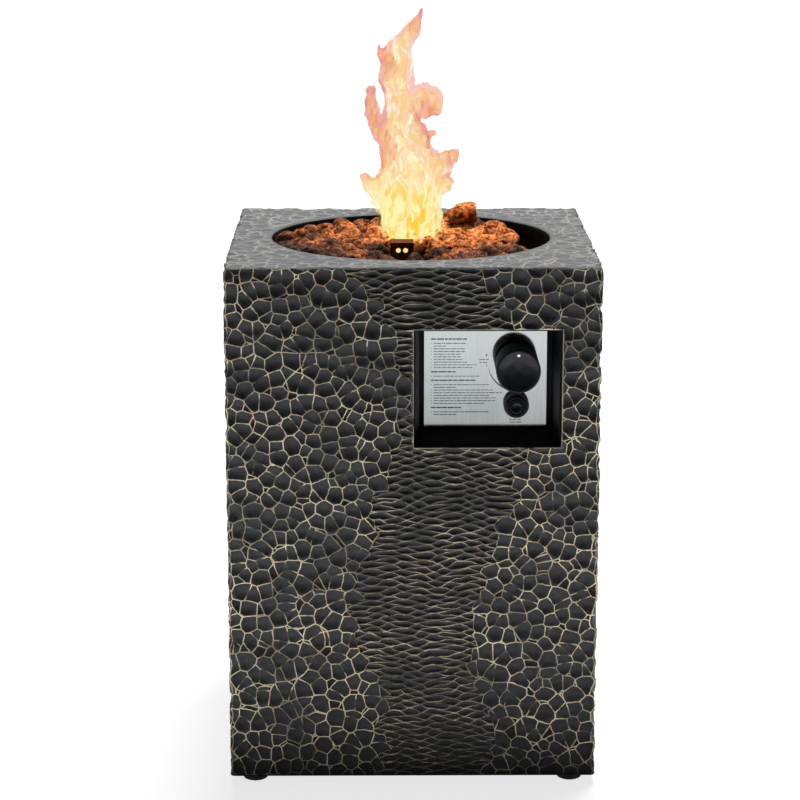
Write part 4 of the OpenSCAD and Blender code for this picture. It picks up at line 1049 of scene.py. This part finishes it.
def plate_print():
    bm = bmesh.new()
    row = plate_high.z - 9.5 * MM
    for heading, rows_mm in PRINT_BLOCKS_MM:
        words(bm, plate_low.x + 7.5 * MM, row, heading * MM, 1.5 * MM, 3.0, 9.0)
        row -= HEADING_STEP
        for width in rows_mm:
            if width > BULLET_FROM_MM:
                dash(bm, plate_low.x + 7.6 * MM, row, 0.8 * MM, 0.8 * MM)
            words(bm, plate_low.x + 10.5 * MM, row, width * MM, 0.85 * MM)
            row -= LINE_STEP
        row -= BLOCK_GAP
    for i, width in enumerate((15, 14)):
        down = SMALL_LINE_STEP * i
        words(bm, axis_x - width / 2 * MM, plate_low.z + (7.2 - down) * MM, width * MM, 0.8 * MM)
        words(bm, axis_x - 40.5 * MM, axis_z + (2.6 - down) * MM, 10.5 * MM, 0.8 * MM)
    mark_x, mark_z = axis_x - 32.5 * MM, axis_z + 8 * MM
    flat_shape(bm, [(mark_x - 1.0 * MM, mark_z), (mark_x, mark_z - 1.5 * MM),
                    (mark_x + 1.0 * MM, mark_z), (mark_x, mark_z + 1.5 * MM)])
    dash(bm, mark_x - 0.3 * MM, axis_z - 4.6 * MM, 0.7 * MM, 2.2 * MM)
    inner, outer_arc = [], []
    for i in range(ARC_STEPS + 1):
        turn = math.radians(ARC_FROM + ARC_SWEEP * i / ARC_STEPS)
        half_width = ARC_THIN + ARC_THICK * (i / ARC_STEPS) ** 0.8
        for ring, r in ((inner, ARC_R - half_width), (outer_arc, ARC_R + half_width)):
            ring.append((axis_x + r * math.cos(turn), axis_z + r * math.sin(turn)))
    flat_shape(bm, inner + outer_arc[::-1])
    bmesh.ops.recalc_face_normals(bm, faces=bm.faces)
    return mesh_from(bm, "plate_print")



printed = add_piece("plate_print", plate_print(), finishes["plate_ink"], "column")
print("ink faces:", len(printed.data.polygons))

# %% [markdown]
# ## Knob and igniter
# Turned parts are drawn as half an outline and spun about their axis. The knob is a smooth drum
# with a rounded rim. Its face is a very shallow hollow cone, so that the upper half looks down at
# the bright floor and the lower half does not.

# %% Spin a profile about an axis that runs front to back


def turned_mesh(name, profile, x, z, steps=96, closed=False):
    """profile is a list of (radius, y) in metres; it is spun round the line through x and z."""
    bm = bmesh.new()
    verts = [bm.verts.new((x + r, y, z)) for r, y in profile]
    edges = [bm.edges.new(pair) for pair in zip(verts, verts[1:])]
    if closed:
        edges.append(bm.edges.new((verts[-1], verts[0])))
    bmesh.ops.spin(bm, geom=verts + edges, cent=(x, 0, z), axis=(0, 1, 0), angle=2 * math.pi, steps=steps,
                   use_merge=True, use_duplicate=False)
    bmesh.ops.remove_doubles(bm, verts=bm.verts, dist=0.005 * MM)
    bmesh.ops.recalc_face_normals(bm, faces=bm.faces)
    mesh = mesh_from(bm, name)
    mesh.shade_smooth()
    mesh.set_sharp_from_angle(angle=math.radians(40))
    return mesh


def arc_points(centre, radius, start, end, steps):
    """Points of an arc in (radius, y), angles in degrees."""
    turns = [math.radians(start + (end - start) * i / steps) for i in range(steps + 1)]
    return [(centre[0] + radius * math.cos(t), centre[1] + radius * math.sin(t)) for t in turns]


def near(radius, y, *steps_mm):
    """Points of an outline, each some millimetres from this radius and this y."""
    return [(radius + out_mm * MM, y + back_mm * MM) for out_mm, back_mm in steps_mm]


knob_radius = (knob_high.x - knob_low.x) / 2
knob_front, knob_back = knob_low.y, knob_high.y
DISH = 2.2 * MM
DISH_R = knob_radius - 2.6 * MM


def dish_y(radius):
    """Front of the knob's dished face at this distance from its axis."""
    return knob_front + 0.35 * MM + DISH * (1 - radius / DISH_R)


knob_outline = [(0.0, dish_y(0.5 * MM)), (0.8 * MM, dish_y(0.8 * MM)), (DISH_R / 2, dish_y(DISH_R / 2)),
                (DISH_R, dish_y(DISH_R))] + near(knob_radius, knob_front, (-2.3, 0.05))
knob_outline += arc_points((knob_radius - 1.5 * MM, knob_front + 1.5 * MM), 1.5 * MM, -100, 0, 8)
knob_outline += near(knob_radius, knob_back, (-0.3, -3.0), (-0.5, -2.2), (-0.2, -1.6), (-0.3, 0), (-3.8, 0))
knob_outline += near(knob_radius, knob_front, (-4.0, 10)) + near(0.0, knob_front, (8.0, 10))
knob_outline += near(0.0, knob_back, (8.0, -4), (4.1, -4)) + near(0.0, knob_front, (4.1, 7.9), (0, 7.9))
knob_mesh = turned_mesh("knob_drum", knob_outline, axis_x, axis_z)
knob = add_piece("knob_drum", knob_mesh, finishes["knob_plastic"], "knob", ["gas_knob"])
# The drum's side takes the paler, bluish copy of the same plastic: painted sheen on the side.
knob.data.materials.append(finishes["knob_side"])
for face in knob.data.polygons:
    face.material_index = int(abs(face.normal.y) < 0.5)
print("knob faces:", len(knob.data.polygons))

# %% Pointer dot and igniter button
dot_low, dot_high = (Vector(c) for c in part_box("knob_pointer"))
dot_z, dot_r = (dot_low.z + dot_high.z) / 2, (dot_high.x - dot_low.x) / 2
dot_face = dish_y(dot_z - axis_z)
dot_outline = [(0.0, dot_face - 0.3 * MM), (0.6 * dot_r, dot_face - 0.25 * MM),
               (0.95 * dot_r, dot_face - 0.05 * MM), (dot_r, dot_face + 0.9 * MM), (0.0, dot_face + 1.0 * MM)]
dot_mesh = turned_mesh("pointer_dot", dot_outline, axis_x, dot_z, 32)
add_piece("pointer_dot", dot_mesh, finishes["white_plastic"], "knob", ["knob_pointer"])

button_low, button_high = (Vector(c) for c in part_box("igniter_button"))
button_z, button_r = (button_low.z + button_high.z) / 2, (button_high.x - button_low.x) / 2
button_front, plunger_back = button_low.y, button_high.y
button_back = plate_low.y - 9.2 * MM
rim_y = button_front + 0.2 * MM
plunger_r = button_r - 1.8 * MM
button_outline = near(0.0, rim_y, (0, 1.9), (3.0, 1.7), (5.6, 0.9))
button_outline += arc_points((6.6 * MM, rim_y + 0.6 * MM), 0.6 * MM, -160, -20, 6)
button_outline += near(0.0, rim_y, (7.5, 1.2), (8.1, 1.25))
button_outline += arc_points((9.7 * MM, rim_y + 0.95 * MM), 0.9 * MM, -150, -10, 7)
button_outline += [(button_r, rim_y + 2.2 * MM), (button_r, button_back), (plunger_r, button_back),
                   (plunger_r, plunger_back), (0.0, plunger_back)]
cap_mesh = turned_mesh("igniter_cap", button_outline, axis_x, button_z)
add_piece("igniter_cap", cap_mesh, finishes["knob_plastic"], "igniter_push",
          ["igniter_button"])

sleeve_low, sleeve_high = (Vector(c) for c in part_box("igniter_sleeve"))
bezel_r, bezel_front = (sleeve_high.x - sleeve_low.x) / 2, sleeve_low.y
barrel_r, barrel_end = 10.9 * MM, sleeve_high.y - 8 * MM
bore_r, bore_end = 9.1 * MM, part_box("igniter_battery")[1][1]
recess_r, recess_floor = 11.0 * MM, plate_low.y - 5 * MM
sleeve_outline = [(0.0, bore_end), (bore_r, bore_end), (bore_r, recess_floor), (recess_r, recess_floor)]
sleeve_outline += near(recess_r, bezel_front, (0, 0.6), (0.4, 0.1), (0.9, 0), (1.3, 0.6), (1.6, 0.5))
sleeve_outline += arc_points((bezel_r - 1.1 * MM, bezel_front + 1.4 * MM), 1.1 * MM, -90, 0, 6)
sleeve_outline += [(bezel_r, plate_low.y), (barrel_r, plate_low.y), (barrel_r, barrel_end), (0.0, barrel_end)]
sleeve_mesh = turned_mesh("igniter_bezel", sleeve_outline, axis_x, button_z)
bm = bmesh.new()
bm.from_mesh(sleeve_mesh)
for side in (-1, 1):
    blade = bmesh.ops.create_cube(bm, size=1.0)["verts"]
    bmesh.ops.scale(bm, verts=blade, vec=(0.8 * MM, 9 * MM, 4.8 * MM))
    bmesh.ops.translate(bm, verts=blade, vec=(axis_x + side * 3 * MM, barrel_end + 3.5 * MM, button_z))
bm.to_mesh(sleeve_mesh)
bm.free()
add_piece("igniter_bezel", sleeve_mesh, finishes["black_plastic"], "column",
          ["igniter_sleeve"])
print("button", round(2 * button_r / MM, 1), "mm across, bezel", round(2 * bezel_r / MM, 1), "mm")

# %% [markdown]
# ## Flame
# The flame is light and not part of the object. It is three closed
# skins, each some millimetres inside the one round it, and paler and denser. They are grown from
# chains of balls that a voxel remesh joins, and noise frays them. A tongue that is too thin for
# the inner skins glows more strongly in the skins that it has. A small flame of its own burns in
# the hood.

# %% Tongues of the flame, as x, z and radius in millimetres
TONGUES_MM = (
    ((2, 598, 34), (-2, 623, 37), (-4, 647, 40), (1, 668, 37), (-4, 690, 31), (-7, 711, 27),
     (-11, 729, 23), (-13, 749, 19), (-15, 769, 18), (-18, 788, 19), (-18, 808, 18), (-13, 825, 15),
     (-4, 840, 11), (5, 855, 7), (11, 869, 3.5), (13, 878, 1)),
    ((1, 762, 11), (13, 770, 11), (24, 764, 11), (26, 751, 9), (19, 743, 6), (13, 740, 3)),
    ((2, 752, 10), (10, 756, 8), (14, 757, 5)),
    ((-24, 700, 8), (-32, 713, 8), (-41, 729, 8), (-47, 745, 8), (-48, 760, 6), (-45, 776, 2)),
    ((-26, 800, 9), (-32, 818, 6), (-35, 836, 1)),
    ((-22, 636, 20), (-40, 650, 13), (-53, 662, 4)),
    ((20, 660, 18), (36, 682, 11), (50, 690, 4)),
    ((18, 640, 16), (34, 650, 12), (46, 655, 4)),
    ((8, 708, 14), (17, 716, 8), (27, 719, 2)),
)
FLAME_FOOT = rock_high.z - 10 * MM
FLAME_HEIGHT = 0.875
FLAME_FRAY, FLAME_SWAY = 11 * MM, 7 * MM
LEAST_BALL = 1.3 * MM
VOXEL = 2.2 * MM
FLAME_SKINS = (
    (0.0, (0.72, 0.19, 0.16), (0.92, 0.37, 0.20), (0.03, 0.46)),
    (3.5, (0.99, 0.52, 0.18), (1.0, 0.86, 0.42), (0.04, 0.50)),
    (7.0, (1.0, 0.78, 0.32), (1.0, 0.98, 0.74), (0.78, 1.0)),
)
FLAME_YELLOW = ((1.0, 0.60, 0.03), (1.0, 0.94, 0.46))
YELLOW_TO_Z = (0.615, 0.675)
PILOT_ORANGE = ((1.0, 0.46, 0.10), (1.0, 0.74, 0.30))
THIN_MM = (7.0, 15.0)
THIN_COVER = 0.62
PILOT_MM = ((-16, 580, 5), (-11, 581, 6), (-6, 580, 5), (-11, 587, 3.5))
PILOT_BACK = -72


def flame_balls():
    """Middle and radius of every ball of the chains."""
    balls = []
    for index, tongue in enumerate(TONGUES_MM):
        for (xa, za, ra), (xb, zb, rb) in zip(tongue, tongue[1:]):
            steps = max(2, round(math.dist((xa, za), (xb, zb)) / (0.2 * min(ra, rb) + 1.4)))
            for i in range(steps):
                t = i / steps
                place = Vector((xa + (xb - xa) * t, 6 - 5 * (index % 3), za + (zb - za) * t)) * MM
                place.z = FLAME_FOOT + (place.z - FLAME_FOOT) * FLAME_HEIGHT
                balls.append((place, (ra + (rb - ra) * t) * MM))
    return balls


balls = flame_balls()
ball_tree = KDTree(len(balls))
for index, (place, radius) in enumerate(balls):
    ball_tree.insert(place, index)
ball_tree.balance()


def flame_skin(name, inset):
    """One skin of the flame, whose balls are smaller by the inset; thin tongues drop out of it."""
    bm = bmesh.new()
    for place, radius in balls:
        if radius > inset + LEAST_BALL:
            ball = bmesh.ops.create_icosphere(bm, subdivisions=2, radius=radius - inset)["verts"]
            bmesh.ops.scale(bm, verts=ball, vec=(1, 0.8, 1))
            bmesh.ops.translate(bm, verts=ball, vec=place)
    skin = add_object(name, mesh_from(bm, name))
    remesh = skin.modifiers.new("join", "REMESH")
    remesh.mode = "VOXEL"
    remesh.voxel_size = VOXEL
    even = skin.modifiers.new("even", "SMOOTH")
    even.iterations = 6
    mesh = bake_modifiers(skin)
    tip = max(v.co.z for v in mesh.vertices)
    thin = mesh.attributes.new("thin", "FLOAT", "POINT").data
    for vert, normal in zip(mesh.vertices, [v.vector.copy() for v in mesh.vertex_normals]):
        radius = balls[ball_tree.find(vert.co)[1]][1] / MM
        thin[vert.index].value = min(1.0, max(0.0, (THIN_MM[1] - radius) / (THIN_MM[1] - THIN_MM[0])))
        at = Vector((vert.co.x * 60, vert.co.y * 60, vert.co.z * 24 + 4 - inset / (10 * MM)))
        fade = 1 - 0.75 * (vert.co.z - FLAME_FOOT) / (tip - FLAME_FOOT)
        push = noise.fractal(at, 0.7, 2.4, 4) * FLAME_FRAY * fade
        sway = noise.noise(Vector((3.1, 0, vert.co.z * 38))) * FLAME_SWAY * (1 - 0.5 * fade)
        vert.co += normal * push + Vector((sway, 0, 0))
    mesh.shade_smooth()
    return skin


def flame_material(name, low, high, cover, base):
    """Glow that covers what is behind it more or less, in streaks that run upwards."""
    material, tree, blend = blank_material(name, "ShaderNodeMixShader")
    place = object_place(tree)
    streaks = noise_at(vector_math("MULTIPLY", place, (1, 1, 0.4)), 58.0, 3.0, Distortion=2.4)
    share = smooth_step(streaks, 0.42, 0.56)
    foot = smooth_step(parts_of(place)[2], *YELLOW_TO_Z, 0.95, 0.0)
    colour = mix_colour(foot, mix_colour(share, low, high), mix_colour(share, *base))
    least, most = cover
    amount = greatest(multiply_add(share, most - least, least), attribute(tree, "thin") * THIN_COVER)
    set_inputs(blend, {0: amount, 1: field(tree, "ShaderNodeBsdfTransparent"),
                       2: field(tree, "ShaderNodeEmission", {"Color": colour, "Strength": 1.0})})
    return material


for index, (inset_mm, low, high, cover) in enumerate(FLAME_SKINS):
    skin = flame_skin("flame_%d" % index, inset_mm * MM)
    skin.data.materials.clear()
    skin.data.materials.append(flame_material("flame_%d" % index, low, high, cover, FLAME_YELLOW))
    skin.visible_shadow = False
    print(skin.name, "faces:", len(skin.data.polygons))

pilot_bm = bmesh.new()
for x, z, radius in PILOT_MM:
    ball = bmesh.ops.create_icosphere(pilot_bm, subdivisions=2, radius=radius * MM)["verts"]
    bmesh.ops.translate(pilot_bm, verts=ball, vec=Vector((x, PILOT_BACK, z)) * MM)
pilot = add_object("pilot_flame", mesh_from(pilot_bm, "pilot_flame"))
pilot.data.materials.append(flame_material("pilot_flame", *PILOT_ORANGE, (0.9, 1.0), PILOT_ORANGE))

flame_light = bpy.data.lights.new("flame_light", "POINT")
flame_light.energy = 0.38
flame_light.color = (1.0, 0.48, 0.16)
flame_light.shadow_soft_size = 0.045
add_object("flame_light", flame_light).location = (0.0, 0.01, 0.65)

# %% [markdown]
# ## Springs
# The two coil springs are stiff in the CAD. Copies of them, each with a mesh of its own, stand in
# their place here and ride on the column.

# %% Springs
PUSHED_MM = {"stem_spring": ("knob_push", 3), "igniter_spring": ("igniter_press", 4)}
for node_name, (joint, travel_mm) in PUSHED_MM.items():
    coil_mesh = nodes[node_name].data.copy()
    coil = add_piece(node_name + "_coil", coil_mesh, None, "column", (node_name,))
    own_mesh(coil)
